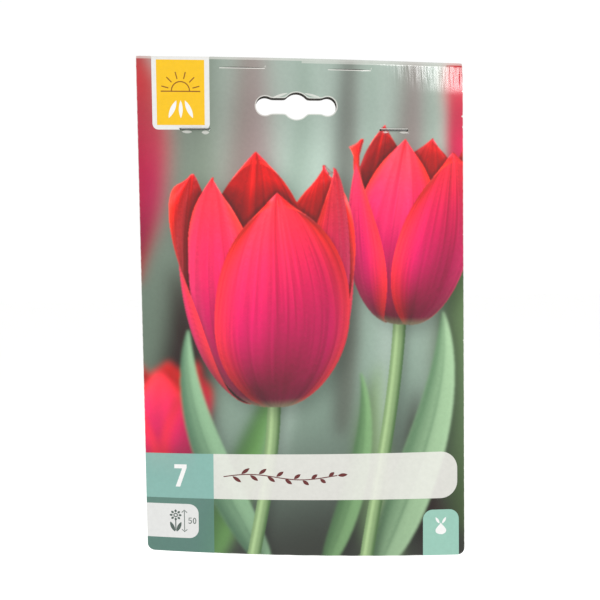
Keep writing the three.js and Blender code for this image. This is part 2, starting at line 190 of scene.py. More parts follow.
class BulbPackStage(bpy.types.PropertyGroup):
    """Camera, lights and floor."""

    focal_length: FloatProperty(name="Focal length", description="Of the camera", default=63.3, unit="CAMERA")
    camera_distance: length("Camera distance", "From the aim point", 420)
    camera_azimuth: FloatProperty(
        name="Camera azimuth",
        description="Round the pack, to the right of square",
        default=math.radians(-5.97),
        subtype="ANGLE",
        unit="ROTATION",
    )
    camera_elevation: FloatProperty(
        name="Camera elevation",
        description="Above the pack",
        default=math.radians(7.69),
        subtype="ANGLE",
        unit="ROTATION",
    )
    floor_drop: length("Floor drop", "From the hang slot down to the floor", 480)
    daylight: FloatProperty(name="Daylight", description="Strength of the surround", default=1.02, min=0)
    key_power: power("Key", "High light at the right", 3.4)
    side_power: power("Side", "Low light at the left", 0.5)
    back_power: power("Back", "Light behind the pack", 5)


SETTINGS = {
    "bulb_pack_card": BulbPackCard,
    "bulb_pack_inks": BulbPackInks,
    "bulb_pack_staples": BulbPackStaples,
    "bulb_pack_net": BulbPackNet,
    "bulb_pack_bulbs": BulbPackBulbs,
    "bulb_pack_stage": BulbPackStage,
}


def read(context, group):
    """One group's settings, with lengths in millimetres and colours as arrays."""
    settings = getattr(context.scene, "bulb_pack_" + group)
    values = {}
    for name, prop in settings.bl_rna.properties.items():
        if name in ("rna_type", "name"):
            continue
        value = getattr(settings, name)
        if prop.unit == "LENGTH":
            value /= MM
        elif prop.is_array:
            value = np.array(value[:])
        values[name] = value
    return SimpleNamespace(**values)


# Shapes and fields shared by the pieces


def eased(value, low, high):
    """0 at low, 1 at high, and a smooth S between."""
    share = np.clip((value - low) / (high - low), 0, 1)
    return share * share * (3 - 2 * share)


def bell(distance, width, power=2):
    """1 at no distance, falling smoothly to almost nothing at two widths. A higher power flattens its top."""
    return np.exp(-(np.abs(distance / width) ** power))


def mixed(first, second, share):
    """Two colours, or two rasters of colours, in proportion."""
    share = np.asarray(share)[..., None]
    return np.asarray(first) * (1 - share) + np.asarray(second) * share


def through(points, steps):
    """A smooth line through points, as a Catmull-Rom spline with that many steps between each two."""
    points = np.asarray(points, float)
    ends = np.vstack([2 * points[0] - points[1], points, 2 * points[-1] - points[-2]])
    share = np.linspace(0, 1, steps, endpoint=False)[:, None]
    line = []
    for before, start, end, after in zip(ends, ends[1:], ends[2:], ends[3:]):
        bend = 2 * before - 5 * start + 4 * end - after
        turn = 3 * start - before - 3 * end + after
        line.append(0.5 * (2 * start + (end - before) * share + bend * share**2 + turn * share**3))
    return np.vstack([*line, points[-1:]])


def arc(x, z, radius, start, end, steps):
    """Points of an arc, its angles in degrees."""
    angles = np.radians(np.linspace(start, end, steps + 1))
    return np.stack([x + radius * np.cos(angles), z + radius * np.sin(angles)], 1)


def subdivided(loop, step):
    """A closed loop with no edge longer than step."""
    points = []
    for start, end in zip(loop, np.roll(loop, -1, 0)):
        parts = max(1, math.ceil(np.linalg.norm(end - start) / step))
        points.append(start + (end - start) * np.arange(parts)[:, None] / parts)
    return np.vstack(points)


def grid(x, z):
    """Every crossing of some columns and rows, as points."""
    x, z = np.meshgrid(x, z)
    return np.stack([x.ravel(), z.ravel()], 1)


def unit(vectors):
    """Vectors scaled to length 1."""
    return vectors / (np.linalg.norm(vectors, axis=-1, keepdims=True) + 1e-12)


def stored(piece, name, values, kind="FLOAT", field="value"):
    """Keeps one value for each of a piece's vertices, for its material."""
    attribute = piece.data.attributes.new(name, kind, "POINT")
    attribute.data.foreach_set(field, np.asarray(values, np.float32).ravel())


def new_piece(name, vertices, faces, materials, kinds, slot, *nodes):
    """A mesh piece from points in millimetres, riding on the pack and standing for the named nodes.
    kinds gives each face its material's number."""
    mesh = bpy.data.meshes.new(name)
    mesh.from_pydata(np.asarray(vertices) * MM, [], faces)
    for material in materials:
        mesh.materials.append(material)
    mesh.polygons.foreach_set("use_smooth", np.ones(len(faces), bool))
    mesh.polygons.foreach_set("material_index", np.broadcast_to(kinds, len(faces)).astype(np.int32))
    mesh.update()
    piece = bpy.data.objects.new(name, mesh)
    bpy.context.scene.collection.objects.link(piece)
    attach(piece, "root")
    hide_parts(*nodes)
    return piece


class Shell:
    """Vertices, faces and one value for each vertex, gathered from several closed forms."""

    def __init__(self):
        self.vertices = []
        self.faces = []
        self.values = []
        self.count = 0

    def add(self, vertices, faces, value=0.0):
        self.vertices.append(vertices)
        self.faces += [[self.count + corner for corner in face] for face in faces]
        self.values.append(np.broadcast_to(value, len(vertices)))
        self.count += len(vertices)


def ring_faces(rows, sides):
    """Quads between rows of points that each close to a ring."""
    faces = []
    for row in range(rows - 1):
        for turn in range(sides):
            here, after = row * sides + turn, row * sides + (turn + 1) % sides
            faces.append([here, after, after + sides, here + sides])
    return faces


def tube(line, radii, sides, flat=(0, 0, 1)):
    """A closed tube along a line. Its first side is turned towards flat."""
    line = np.asarray(line, float)
    along = unit(np.gradient(line, axis=0))
    side = unit(np.cross(along, np.asarray(flat, float)))
    other = np.cross(side, along)
    angles = np.arange(sides) * 2 * np.pi / sides
    radii = np.broadcast_to(radii, len(line))[:, None, None]
    ring = np.cos(angles)[None, :, None] * other[:, None] + np.sin(angles)[None, :, None] * side[:, None]
    vertices = (line[:, None] + radii * ring).reshape(-1, 3)
    last = (len(line) - 1) * sides
    ends = [list(range(sides))[::-1], [last + turn for turn in range(sides)]]
    return vertices, ring_faces(len(line), sides) + ends


def leaf_of_skin(points, thickness):
    """A closed thin patch from a grid of points: rows by columns by place."""
    rows, columns, _ = points.shape
    normal = unit(np.cross(np.gradient(points, axis=1), np.gradient(points, axis=0)))
    both = np.concatenate([points.reshape(-1, 3), (points - thickness * normal).reshape(-1, 3)])
    under = rows * columns
    number = np.arange(under).reshape(rows, columns)
    faces = []
    for a in number[:-1, :-1].ravel().tolist():
        quad = [a, a + columns, a + columns + 1, a + 1]
        faces += [quad[::-1], [under + corner for corner in quad]]
    rim = np.concatenate([number[0], number[1:, -1], number[-1, -2::-1], number[-2:0:-1, 0]]).tolist()
    for here, after in zip(rim, rim[1:] + rim[:1]):
        faces.append([after, here, under + here, under + after])
    return both, faces


# Materials


def new_material(name):
    material = bpy.data.materials.new(name)
    material.use_nodes = True
    material.node_tree.nodes.clear()
    return material


def add(material, kind, inputs, output=0, **settings):
    """Adds a shader node and gives one of its outputs. An input takes a value, a colour or another output."""
    node = material.node_tree.nodes.new("ShaderNode" + kind)
    for name, value in settings.items():
        setattr(node, name, value)
    for name, value in inputs.items():
        if isinstance(value, bpy.types.NodeSocket):
            material.node_tree.links.new(value, node.inputs[name])
        elif isinstance(value, np.ndarray):
            node.inputs[name].default_value = (*value, 1.0)
        else:
            node.inputs[name].default_value = value
    return node.outputs[output] if node.outputs else None


def per_metre(millimetres):
    """The texture scale at which one repeat measures that many millimetres."""
    return 1 / (millimetres * MM)


MIX = {"output": 2, "data_type": "RGBA"}


def laminated_print():
    """Offset-printed paperboard under a gloss film: sharp reflections, broken up by the film's fine ripple."""
    material = new_material("gloss_laminated_print")
    place = add(material, "TexCoord", {}, "Object")
    printed = add(material, "Attribute", {}, "Color", attribute_name="print")
    # Paper fibre shows through the ink as a faint mottle, 1.5 mm across
    mottle = add(material, "TexNoise", {"Vector": place, "Scale": per_metre(1.5), "Detail": 3.0})
    reach = {"From Min": 0.25, "From Max": 0.75, "To Min": 0.965, "To Max": 1.03}
    tone = add(material, "MapRange", {"Value": mottle, **reach})
    tinted = add(material, "VectorMath", {0: printed, "Scale": tone}, operation="SCALE")
    # The film follows the board's surface: an orange-peel ripple 0.9 mm across, and slow waves of 14 mm
    peel = add(material, "TexNoise", {"Vector": place, "Scale": per_metre(0.9), "Detail": 2.0})
    waves = add(material, "TexNoise", {"Vector": place, "Scale": per_metre(14), "Detail": 1.0})
    slow = add(material, "Bump", {"Height": waves, "Distance": 0.0006, "Strength": 0.35})
    # Where the fold was pulled round, the film stands in upright flutes about 2.2 mm apart
    upright = add(material, "VectorMath", {0: place, 1: (1.0, 0.3, 0.07)}, operation="MULTIPLY")
    look = {"Scale": per_metre(2.2), "Detail": 2.0, "Roughness": 0.6}
    flutes = add(material, "TexNoise", {"Vector": upright, **look})
    pulled = add(material, "Attribute", {}, "Fac", attribute_name="pulled")
    relief = {"Height": flutes, "Distance": 0.00035, "Strength": pulled}
    fluted = add(material, "Bump", {**relief, "Normal": slow})
    fine = add(material, "Bump", {"Height": peel, "Distance": 0.00004, "Strength": 0.15, "Normal": fluted})
    film = {"Base Color": tinted, "Roughness": 0.18, "IOR": 1.46, "Normal": fine}
    add(material, "OutputMaterial", {"Surface": add(material, "BsdfPrincipled", film)})
    return material


def uncoated_board():
    """The grey-white uncoated back of a paperboard: matt, with short fibres."""
    material = new_material("uncoated_board_back")
    place = add(material, "TexCoord", {}, "Object")
    printed = add(material, "Attribute", {}, "Color", attribute_name="print")
    # Fibres 2.4 mm long and 0.6 mm wide, drawn coarser than they are so that they show
    stretched = add(material, "VectorMath", {0: place, 1: (1.0, 1.0, 0.25)}, operation="MULTIPLY")
    look = {"Scale": per_metre(0.6), "Detail": 4.0, "Distortion": 0.6}
    fibre = add(material, "TexNoise", {"Vector": stretched, **look})
    reach = {"From Min": 0.3, "From Max": 0.7, "To Min": 0.93, "To Max": 1.04}
    tone = add(material, "MapRange", {"Value": fibre, **reach})
    tinted = add(material, "VectorMath", {0: printed, "Scale": tone}, operation="SCALE")
    bump = add(material, "Bump", {"Height": fibre, "Distance": 0.0001, "Strength": 0.5})
    board = {"Base Color": tinted, "Roughness": 0.86, "IOR": 1.45, "Normal": bump}
    add(material, "OutputMaterial", {"Surface": add(material, "BsdfPrincipled", board)})
    return material


def cut_board(colour):
    """Paperboard where the die has cut it: pale pressed layers, slightly fluffed."""
    material = new_material("die_cut_board_edge")
    place = add(material, "TexCoord", {}, "Object")
    # The die's drag leaves marks about 0.5 mm apart
    drag = add(material, "TexNoise", {"Vector": place, "Scale": per_metre(0.5), "Detail": 3.0})
    shade = add(material, "Mix", {0: drag, 6: colour * 0.62, 7: colour}, **MIX)
    bump = add(material, "Bump", {"Height": drag, "Distance": 0.0001, "Strength": 0.6})
    edge = {"Base Color": shade, "Roughness": 0.9, "IOR": 1.45, "Normal": bump}
    add(material, "OutputMaterial", {"Surface": add(material, "BsdfPrincipled", edge)})
    return material


def drawn_wire():
    """Galvanised steel wire, drawn through a die and gone dull in store: dark grey, finely lined along it."""
    material = new_material("drawn_galvanised_wire")
    place = add(material, "TexCoord", {}, "Object")
    # Die lines run along the crown, 0.12 mm apart across it
    stretched = add(material, "VectorMath", {0: place, 1: (0.08, 1.0, 1.0)}, operation="MULTIPLY")
    lines = add(material, "TexNoise", {"Vector": stretched, "Scale": per_metre(0.12), "Detail": 2.0})
    shade = add(material, "Mix", {0: lines, 6: linear("#3B3C3C"), 7: linear("#777876")}, **MIX)
    rough = add(material, "MapRange", {"Value": lines, "To Min": 0.18, "To Max": 0.38})
    steel = {"Base Color": shade, "Metallic": 1.0, "Roughness": rough}
    add(material, "OutputMaterial", {"Surface": add(material, "BsdfPrincipled", steel)})
    return material


def extruded_netting(colour):
    """Extruded polyethylene netting: waxy and half see-through, paler where its strands were stretched."""
    material = new_material("extruded_polyethylene_net")
    place = add(material, "TexCoord", {}, "Object")
    stretch = add(material, "Attribute", {}, "Fac", attribute_name="stretch")
    # Uneven stretching shows as paler and darker lengths of about 5 mm
    uneven = add(material, "TexNoise", {"Vector": place, "Scale": per_metre(5), "Detail": 2.0})
    share = add(material, "Math", {0: stretch, 1: 0.55, 2: uneven}, operation="MULTIPLY_ADD")
    pale = np.clip(colour * 1.5 + 0.04, 0, 1)
    shade = add(material, "Mix", {0: share, 6: colour * 0.7, 7: pale}, **MIX)
    # Light goes 0.6 mm into the plastic, and green light 0.9 mm
    radius = (0.0006, 0.0009, 0.0006)
    depth = {"Subsurface Weight": 0.25, "Subsurface Radius": radius, "Subsurface Scale": 1.0}
    plastic = {"Base Color": shade, "Roughness": 0.36, "IOR": 1.51, **depth}
    add(material, "OutputMaterial", {"Surface": add(material, "BsdfPrincipled", plastic)})
    return material


def bulb_skin(bulbs):
    """A tulip bulb's dry tunic: thin chestnut paper, veined from root to nose and torn here and there."""
    material = new_material("dry_tulip_bulb_tunic")
    place = add(material, "Attribute", {}, "Vector", attribute_name="upright")
    torn = add(material, "Attribute", {}, "Fac", attribute_name="torn")
    # Veins run up the bulb about 1.6 mm apart; the grain of the paper is 0.45 mm
    drawn_out = add(material, "VectorMath", {0: place, 1: (1.0, 1.0, 0.12)}, operation="MULTIPLY")
    look = {"Scale": per_metre(1.6), "Detail": 5.0, "Roughness": 0.65}
    veins = add(material, "TexNoise", {"Vector": drawn_out, **look})
    blotch = add(material, "TexNoise", {"Vector": place, "Scale": per_metre(9), "Detail": 4.0})
    grain = add(material, "TexNoise", {"Vector": place, "Scale": per_metre(0.45), "Detail": 3.0})
    vein = add(material, "MapRange", {"Value": veins, "From Min": 0.38, "From Max": 0.66})
    light = add(material, "MapRange", {"Value": blotch, "From Min": 0.42, "From Max": 0.68, "To Max": 0.75})
    brown = add(material, "Mix", {0: vein, 6: bulbs.tunic_dark, 7: bulbs.tunic}, **MIX)
    paper = add(material, "Mix", {0: light, 6: brown, 7: bulbs.tunic_pale}, **MIX)
    # The tear's edge is ragged at the grain's size
    ragged = add(material, "Math", {0: grain, 1: 0.5, 2: torn}, operation="MULTIPLY_ADD")
    bare = add(material, "MapRange", {"Value": ragged, "From Min": 0.72, "From Max": 0.80})
    flesh_shade = bulbs.flesh * np.array([0.86, 0.8, 0.66])
    flesh = add(material, "Mix", {0: vein, 6: flesh_shade, 7: bulbs.flesh}, **MIX)
    skin = add(material, "Mix", {0: bare, 6: paper, 7: flesh}, **MIX)
    relief = add(material, "Math", {0: veins, 1: 1.6, 2: grain}, operation="MULTIPLY_ADD")
    bump = add(material, "Bump", {"Height": relief, "Distance": 0.0003, "Strength": 0.45})
    rough = add(material, "MapRange", {"Value": blotch, "To Min": 0.46, "To Max": 0.78})
    tunic = {"Base Color": skin, "Roughness": rough, "IOR": 1.48, "Normal": bump}
    add(material, "OutputMaterial", {"Surface": add(material, "BsdfPrincipled", tunic)})
    return material


def dry_root(colour):
    """Dead root stubs: fibrous and dull."""
    material = new_material("dry_root_fibre")
    place = add(material, "Attribute", {}, "Vector", attribute_name="upright")
    # Shrivelled fibre varies every 0.8 mm
    fibre = add(material, "TexNoise", {"Vector": place, "Scale": per_metre(0.8), "Detail": 3.0})
    shade = add(material, "Mix", {0: fibre, 6: colour * 0.45, 7: colour}, **MIX)
    root = {"Base Color": shade, "Roughness": 0.9}
    add(material, "OutputMaterial", {"Surface": add(material, "BsdfPrincipled", root)})
    return material


def matt_floor():
    """A painted studio floor: flat white emulsion with a faint roller texture."""
    material = new_material("matt_white_studio_paint")
    place = add(material, "TexCoord", {}, "Object")
    # Roller stipple, about 3 mm across
    stipple = add(material, "TexNoise", {"Vector": place, "Scale": per_metre(3), "Detail": 2.0})
    shade = add(material, "Mix", {0: stipple, 6: linear("#FBFBFA"), 7: linear("#FEFEFE")}, **MIX)
    paint = {"Base Color": shade, "Roughness": 0.95}
    add(material, "OutputMaterial", {"Surface": add(material, "BsdfPrincipled", paint)})
    return material


# The printed picture: tulips painted as bent surfaces on a raster that covers the card's front

CELL = 0.2
PICTURE_LEFT, PICTURE_FOOT = -66.0, -101.0
PICTURE_WIDE, PICTURE_TALL = 661, 1031
SUN = unit(np.array([-0.5, -0.62, 0.6]))
SKY = unit(np.array([0.75, -0.6, 0.1]))
GLINT = unit(SUN + (0, -1, 0))
PETALS = 6
PETAL_CLOSE, PETAL_FLARE, PETAL_SPREAD = 0.62, 0.05, 0.98


def softened(raster, blur):
    """The raster out of focus by a Gaussian of that many millimetres, with its edges carried outwards."""
    sigma = blur / CELL
    pad = int(3 * sigma) + 2
    wide = np.pad(raster, [(pad, pad), (pad, pad)] + [(0, 0)] * (raster.ndim - 2), mode="edge")
    rows = np.fft.fftfreq(wide.shape[0])[:, None]
    columns = np.fft.rfftfreq(wide.shape[1])[None, :]
    fall = np.exp(-2 * (np.pi * sigma) ** 2 * (rows**2 + columns**2))
    fall = fall.reshape(fall.shape + (1,) * (raster.ndim - 2))
    blurred = np.fft.irfft2(np.fft.rfft2(wide, axes=(0, 1)) * fall, s=wide.shape[:2], axes=(0, 1))
    return blurred[pad:-pad, pad:-pad]


def streaks(across, count, seed, wander=0.0):
    """Fine lines along a petal or leaf: a smooth random value across it, from -1 to 1."""
    heights = np.random.default_rng(seed).uniform(-1, 1, count + 3)
    place = np.clip((across + wander) * 0.5 + 0.5, 0, 1) * count
    whole = np.floor(place).astype(int)
    part = eased(place - whole, 0, 1)
    return heights[whole] * (1 - part) + heights[whole + 1] * part


def tilted(first, second, angle):
    """Two coordinates turned by an angle."""
    return first * np.cos(angle) + second * np.sin(angle), second * np.cos(angle) - first * np.sin(angle)


def petal_form(bloom, number, u, v):
    """A petal's surface. Even numbers are the outer three, odd ones the inner three."""
    inner = number % 2
    phase = 1.7 * number + bloom.spin
    cup = np.sin(np.pi * (0.06 + PETAL_CLOSE * v**0.8)) ** 0.9 + PETAL_FLARE * v**5
    overlap = (0.01 if inner else 0.05) * u * (0.3 + v) + 0.012 * np.abs(u) ** 3 * v * np.sin(7 * v + phase)
    rolled = (0.0 if inner else 0.12) * u**4 * eased(v, 0.5, 1)
    rib = 0.025 * bell(u, 0.1) * eased(v, 0.1, 0.5)
    pleats = 0.009 * np.sin(11 * u + phase) * np.sin(np.pi * v) * (1 - u**2)
    out = bloom.radius * (0.93 if inner else 1.0) * (cup + overlap + (rolled - rib) + pleats)
    spread = PETAL_SPREAD * np.sin(np.pi * v**0.72) ** 0.5 + 0.10 * (1 - v) ** 2
    angle = bloom.spin + 2 * np.pi / PETALS * number + u * spread + 0.05 * np.sin(5 * v + phase) * v
    height = bloom.height * (1.03 if inner else 0.98) * (v**1.2 - 0.05 * u**2 * v)
    x, height = tilted(out * np.sin(angle), height, bloom.lean)
    height, y = tilted(height, -out * np.cos(angle), bloom.nod)
    return x, y, height


def petal(inks, bloom, number):
    """One petal as coloured points."""
    u, v = np.meshgrid(np.linspace(-1, 1, bloom.fine), np.linspace(0, 1, int(bloom.fine * 1.5)))
    x, y, z = petal_form(bloom, number, u, v)
    place = np.stack([x, y, z], -1)
    normal = unit(np.cross(np.gradient(place, axis=1), np.gradient(place, axis=0)))
    outside = normal[..., 1] < 0
    normal = np.where(outside[..., None], normal, -normal)

    coarse_veins = streaks(u, 70, 10 * number + 1, 0.03 * np.sin(6 * v))
    veins = coarse_veins * 0.6 + streaks(u, 190, 10 * number + 2) * 0.4
    rim = np.clip(eased(np.abs(u), 0.55, 1.0) * 0.75 + eased(v, 0.72, 1.0) * 0.55, 0, 1)
    outer = mixed(inks.petal_deep, inks.petal_body, eased(v, 0.02, 0.5))
    outer = mixed(outer, inks.petal_flame, 0.55 * bell(u, 0.33) * eased(v, 0.95, 0.3))
    outer = mixed(outer, inks.petal_edge, 0.45 * eased(v, 0.4, 0.95))
    outer = mixed(outer, inks.petal_edge, rim * (0.85 + 0.15 * veins))
    inside = mixed(inks.petal_heart, inks.petal_inside, eased(v, 0.15, 0.85))
    inside = mixed(inside, inks.petal_edge, 0.7 * eased(np.abs(u), 0.8, 1.0))
    colour = np.where(outside[..., None], outer, inside)
    colour = mixed(colour, inks.stem_light, 0.8 * eased(v, 0.10, 0.0) * outside)
    colour = colour * (1 + 0.42 * veins * (0.4 + 0.6 * v))[..., None]

    well = np.where(outside, 1.0, 0.28 + 0.72 * eased(v, 0.35, 0.98))
    sunlight = 1.10 * np.clip(normal @ SUN, 0, 1) ** 1.3
    light = (0.22 + sunlight + 0.28 * np.clip(normal @ SKY, 0, 1)) * well
    shine = 0.24 * np.clip(normal @ GLINT, 0, 1) ** 18 + 0.10 * (1 - np.abs(normal[..., 1])) ** 2 * well
    colour = colour * light[..., None] + linear("#E08A98") * (shine * (1 + 0.5 * veins))[..., None]
    return (x + bloom.x).ravel(), y.ravel(), (z + bloom.z).ravel(), colour.reshape(-1, 3)


def tulip(inks, x, z, radius, height, spin, lean=0.0, nod=0.2, fine=420):
    """Six petals of one bloom, its foot at x and z on the card. fine counts the points across a petal."""
    bloom = SimpleNamespace(x=x, z=z, radius=radius, height=height, spin=spin, lean=lean, nod=nod, fine=fine)
    return [petal(inks, bloom, number) for number in range(PETALS)]


def bent_line(points, steps):
    """A Bezier curve of any order, as points from its first to its last."""
    share = np.linspace(0, 1, steps)[:, None]
    order = len(points) - 1
    line = 0
    for k, point in enumerate(np.asarray(points, float)):
        line = line + math.comb(order, k) * share**k * (1 - share) ** (order - k) * point
    return line


def leaf_blade(line, width, light, dark, seed, fold=0.0):
    """A leaf blade along a bent line, widest below its middle and folded along its rib."""
    u, v = np.meshgrid(np.linspace(-1, 1, 150), np.linspace(0, 1, 600))
    centre = bent_line(line, len(v))
    along = unit(np.gradient(centre, axis=0))
    half = width / 2 * (np.sin(np.pi * (0.02 + 0.98 * v[:, :1] ** 0.6)) ** 0.75 + 0.02)
    x = centre[:, :1] + along[:, 1:] * half * u
    z = centre[:, 1:] - along[:, :1] * half * u
    lines = streaks(u, 46, seed) * 0.6 + streaks(u, 120, seed + 1) * 0.4
    tone = 0.5 + 0.38 * np.sin(1.6 * u + fold) - 0.3 * bell(u, 0.07) + 0.10 * lines
    tone = np.clip(tone + 0.25 * eased(np.abs(u), 0.86, 1), 0, 1)
    colour = mixed(linear(dark), linear(light), tone) * (0.75 + 0.35 * v)[..., None]
    return x.ravel(), np.full(x.size, 10.0), z.ravel(), colour.reshape(-1, 3)


def round_stem(inks, line, width):
    """A bloom's stem, lit from the left."""
    u, v = np.meshgrid(np.linspace(-1, 1, 60), np.linspace(0, 1, 700))
    centre = bent_line(line, len(v))
    x = centre[:, :1] + u * width / 2
    z = centre[:, 1:] + 0 * u
    tone = 0.62 - 0.5 * np.abs(u + 0.25) ** 1.6 + 0.05 * streaks(u, 20, 5)
    tone = np.clip(tone + 0.3 * bell(u + 0.35, 0.25), 0, 1)
    colour = mixed(inks.stem_dark, inks.stem_light, tone)
    return x.ravel(), np.full(x.size, 8.0), z.ravel(), colour.reshape(-1, 3)


def stamped(parts):
    """Coloured points on the raster, nearest on top: colour, cover and depth."""
    x, y, z, colour = (np.concatenate(part) for part in zip(*parts))
    column = np.round((x - PICTURE_LEFT) / CELL).astype(int)
    row = np.round((z - PICTURE_FOOT) / CELL).astype(int)
    keep = (column >= 0) & (column < PICTURE_WIDE) & (row >= 0) & (row < PICTURE_TALL)
    order = np.argsort(-y[keep], kind="stable")
    row, column = row[keep][order], column[keep][order]
    image = np.zeros((PICTURE_TALL, PICTURE_WIDE, 3))
    cover = np.zeros((PICTURE_TALL, PICTURE_WIDE))
    depth = np.full((PICTURE_TALL, PICTURE_WIDE), np.nan)
    image[row, column] = colour[keep][order]
    cover[row, column] = 1
    depth[row, column] = y[keep][order]
    return image, cover, depth


def laid(picture, parts, blur, folds=0.0, cast=None):
    """The picture with parts laid on it, out of focus by blur, with shaded folds and a soft cast shadow.
    cast is the shadow's blur, its shift to the right and up, which is never positive, and its strength."""
    image, cover, depth = stamped(parts)
    rows, columns = np.nonzero(cover)
    margin = int((6 * max(blur, cast[0] if cast else 0) + 8) / CELL)
    high = slice(max(rows.min() - margin, 0), rows.max() + margin)
    window = high, slice(max(columns.min() - margin, 0), columns.max() + margin)
    image, cover, depth = image[window], cover[window], depth[window]
    picture = picture.copy()
    if cast:
        cast_blur, across, up, strength = cast
        right, down = int(across / CELL), int(-up / CELL)
        moved = np.zeros_like(cover)
        moved[: len(moved) - down, right:] = cover[down:, : cover.shape[1] - right]
        picture[window] *= (1 - strength * softened(moved, cast_blur))[..., None]
    if folds:
        filled = np.where(cover > 0, depth, np.nanmax(depth))
        sunk = 0
        for reach, share in ((0.9, 0.35), (4.0, 0.65)):
            sunk = sunk + share * (1 - np.exp(-np.clip(filled - softened(filled, reach), 0, None) / 4.5))
        image = image * (1 - folds * sunk)[..., None]
    soft_cover = softened(cover, blur)
    full = softened(image, blur) / np.maximum(soft_cover, 1e-4)[..., None]
    picture[window] = mixed(picture[window], full, np.clip(soft_cover, 0, 1))
    return picture


# Leaves and gaps far behind: bent line, width, light and dark side, blur
FAR_LEAVES = [
    ([(-62, -60), (-46, 0), (-52, 60), (-36, 130)], 36, "#4E543C", "#2A2E22", 4.5),
    ([(-30, 0), (-20, 40), (-24, 80), (-20, 130)], 20, "#957C7E", "#70645C", 4.0),
    ([(-14, -60), (-10, 10), (8, 60), (-2, 130)], 18, "#9FB0A5", "#6F8375", 2.4),
    ([(14, -50), (20, 20), (10, 70), (22, 140)], 12, "#4A3A34", "#261A1A", 2.6),
    ([(26, -60), (32, 0), (28, 60), (27, 130)], 13, "#A2B0A6", "#73887A", 2.4),
    ([(38, 0), (44, 40), (42, 80), (46, 140)], 15, "#8F797A", "#665A54", 3.5),
    ([(52, -60), (46, 10), (56, 60), (51, 140)], 13, "#A0ADA2", "#73887A", 2.6),
    ([(64, -90), (58, -20), (64, 10), (62, 60)], 20, "#587240", "#20301A", 3.0),
    ([(-62, -70), (-48, -40), (-44, -20), (-52, 20)], 26, "#2C1718", "#160C0C", 3.5),
    ([(-70, 10), (-65, 50), (-66, 90), (-64, 140)], 13, "#961824", "#5E0C1C", 2.2),
    ([(66, 20), (62, 50), (63, 90), (65, 140)], 9, "#A41A28", "#6E0E20", 1.8),
    ([(-42, -110), (-26, -60), (-18, -50), (-12, -20)], 13, "#5F8A4C", "#2C4A28", 2.0),
    ([(34, -110), (26, -70), (22, -50), (30, -20)], 15, "#86A076", "#35492F", 2.6),
    ([(58, -110), (50, -80), (40, -60), (46, -30)], 12, "#2B1F1A", "#161010", 3.0),
]
# Blooms out of focus: foot, radius, height, turn, blur
FAR_BLOOMS = [(-76, 20, 22, 84, 0.5, 3.0), (77, 22, 19, 90, 1.1, 2.6), (-57, -66, 17, 46, 0.9, 1.3)]
NEAR_LEAVES = [
    ([(-16, -104), (-38, -66), (-50, -36), (-47, -6)], 13, "#7C9E7C", "#284A36"),
    ([(30, -104), (46, -66), (60, -30), (56, 0)], 17, "#8DAA86", "#2E5236"),
    ([(8, -104), (18, -80), (28, -50), (22, -24)], 9, "#6C8F62", "#2C4A2E"),
]
# Blooms in focus: foot, radius, height, turn, lean, nod, and the stem's lower points
NEAR_BLOOMS = [
    (38, -4, 26, 74, 0.75, 0.10, 0.12, [(36, -40), (28, -74), (24, -104)]),
    (-13, -36, 34, 94, 0.18, -0.03, 0.20, [(-13, -60), (-18, -80), (-22, -104)]),
]
STEM_WIDTH = 5.2


def paint_picture(inks):
    """Two tulips in focus before blurred leaves and blooms, as a raster of linear colour."""
    x, z = np.meshgrid(
        PICTURE_LEFT + CELL * np.arange(PICTURE_WIDE), PICTURE_FOOT + CELL * np.arange(PICTURE_TALL)
    )
    picture = mixed(linear("#6C7F72"), linear("#94A399"), eased(z + 0.3 * x, -30, 70))
    picture = mixed(linear("#272A25"), picture, eased(z - 0.25 * x, -100, -20))
    contrast = eased(z, 82, 55)[..., None]
    for number, (line, width, light, dark, blur) in enumerate(FAR_LEAVES):
        picture = laid(picture, [leaf_blade(line, width, light, dark, number)], blur)
    for x, z, radius, height, spin, blur in FAR_BLOOMS:
        picture = laid(picture, tulip(inks, x, z, radius, height, spin, fine=160), blur, 0.6)
    for number, (line, width, light, dark) in enumerate(NEAR_LEAVES):
        blade = leaf_blade(line, width, light, dark, 20 + number, 0.4)
        picture = laid(picture, [blade], 0.5, cast=(2.0, 2.0, -1.5, 0.4))
    for x, z, radius, height, spin, lean, nod, stem_line in NEAR_BLOOMS:
        stem = round_stem(inks, [(x, z + 2), *stem_line], STEM_WIDTH)
        picture = laid(picture, [stem], 0.15, cast=(1.5, 2.0, -1.0, 0.35))
        petals = tulip(inks, x, z, radius, height, spin, lean, nod)
        picture = laid(picture, petals, 0.13, 0.75, cast=(3.0, 3.0, -3.0, 0.45))
    return np.clip(picture * (1 + 0.4 * contrast) - 0.01 * contrast, 0, 1)


def sampled(picture, x, z):
    """The picture's colour at places on the card."""
    column = np.clip((x - PICTURE_LEFT) / CELL, 0, PICTURE_WIDE - 1.001)
    row = np.clip((z - PICTURE_FOOT) / CELL, 0, PICTURE_TALL - 1.001)
    left, low = column.astype(int), row.astype(int)
    lower = mixed(picture[low, left], picture[low, left + 1], column - left)
    upper = mixed(picture[low + 1, left], picture[low + 1, left + 1], column - left)
    return mixed(lower, upper, row - low)


# The printed panels and symbols: closed loops in card millimetres, from the card's middle

Box = namedtuple("Box", "left bottom right top")
Ink = namedtuple("Ink", "loops colour cover")
LABEL_FRAME = Box(-59.3, 72.6, -37.6, 101.2)
LABEL_FIELD = Box(-57.6, 74.3, -39.5, 98.6)
COUNT_BLOCK = Box(-66, -76.4, -37.5, -57.2)
FOOT_STRIP = Box(-66, -101, -37.5, -76.4)
TITLE_BAND = Box(-37.5, -76.4, 62, -57.2)
HEIGHT_PILL = Box(-66, -93.9, -43.8, -79)
GRADE_TAB = Box(47.7, -101, 62.6, -81.1)
EVERY_EIGHTH = range(0, 360, 45)


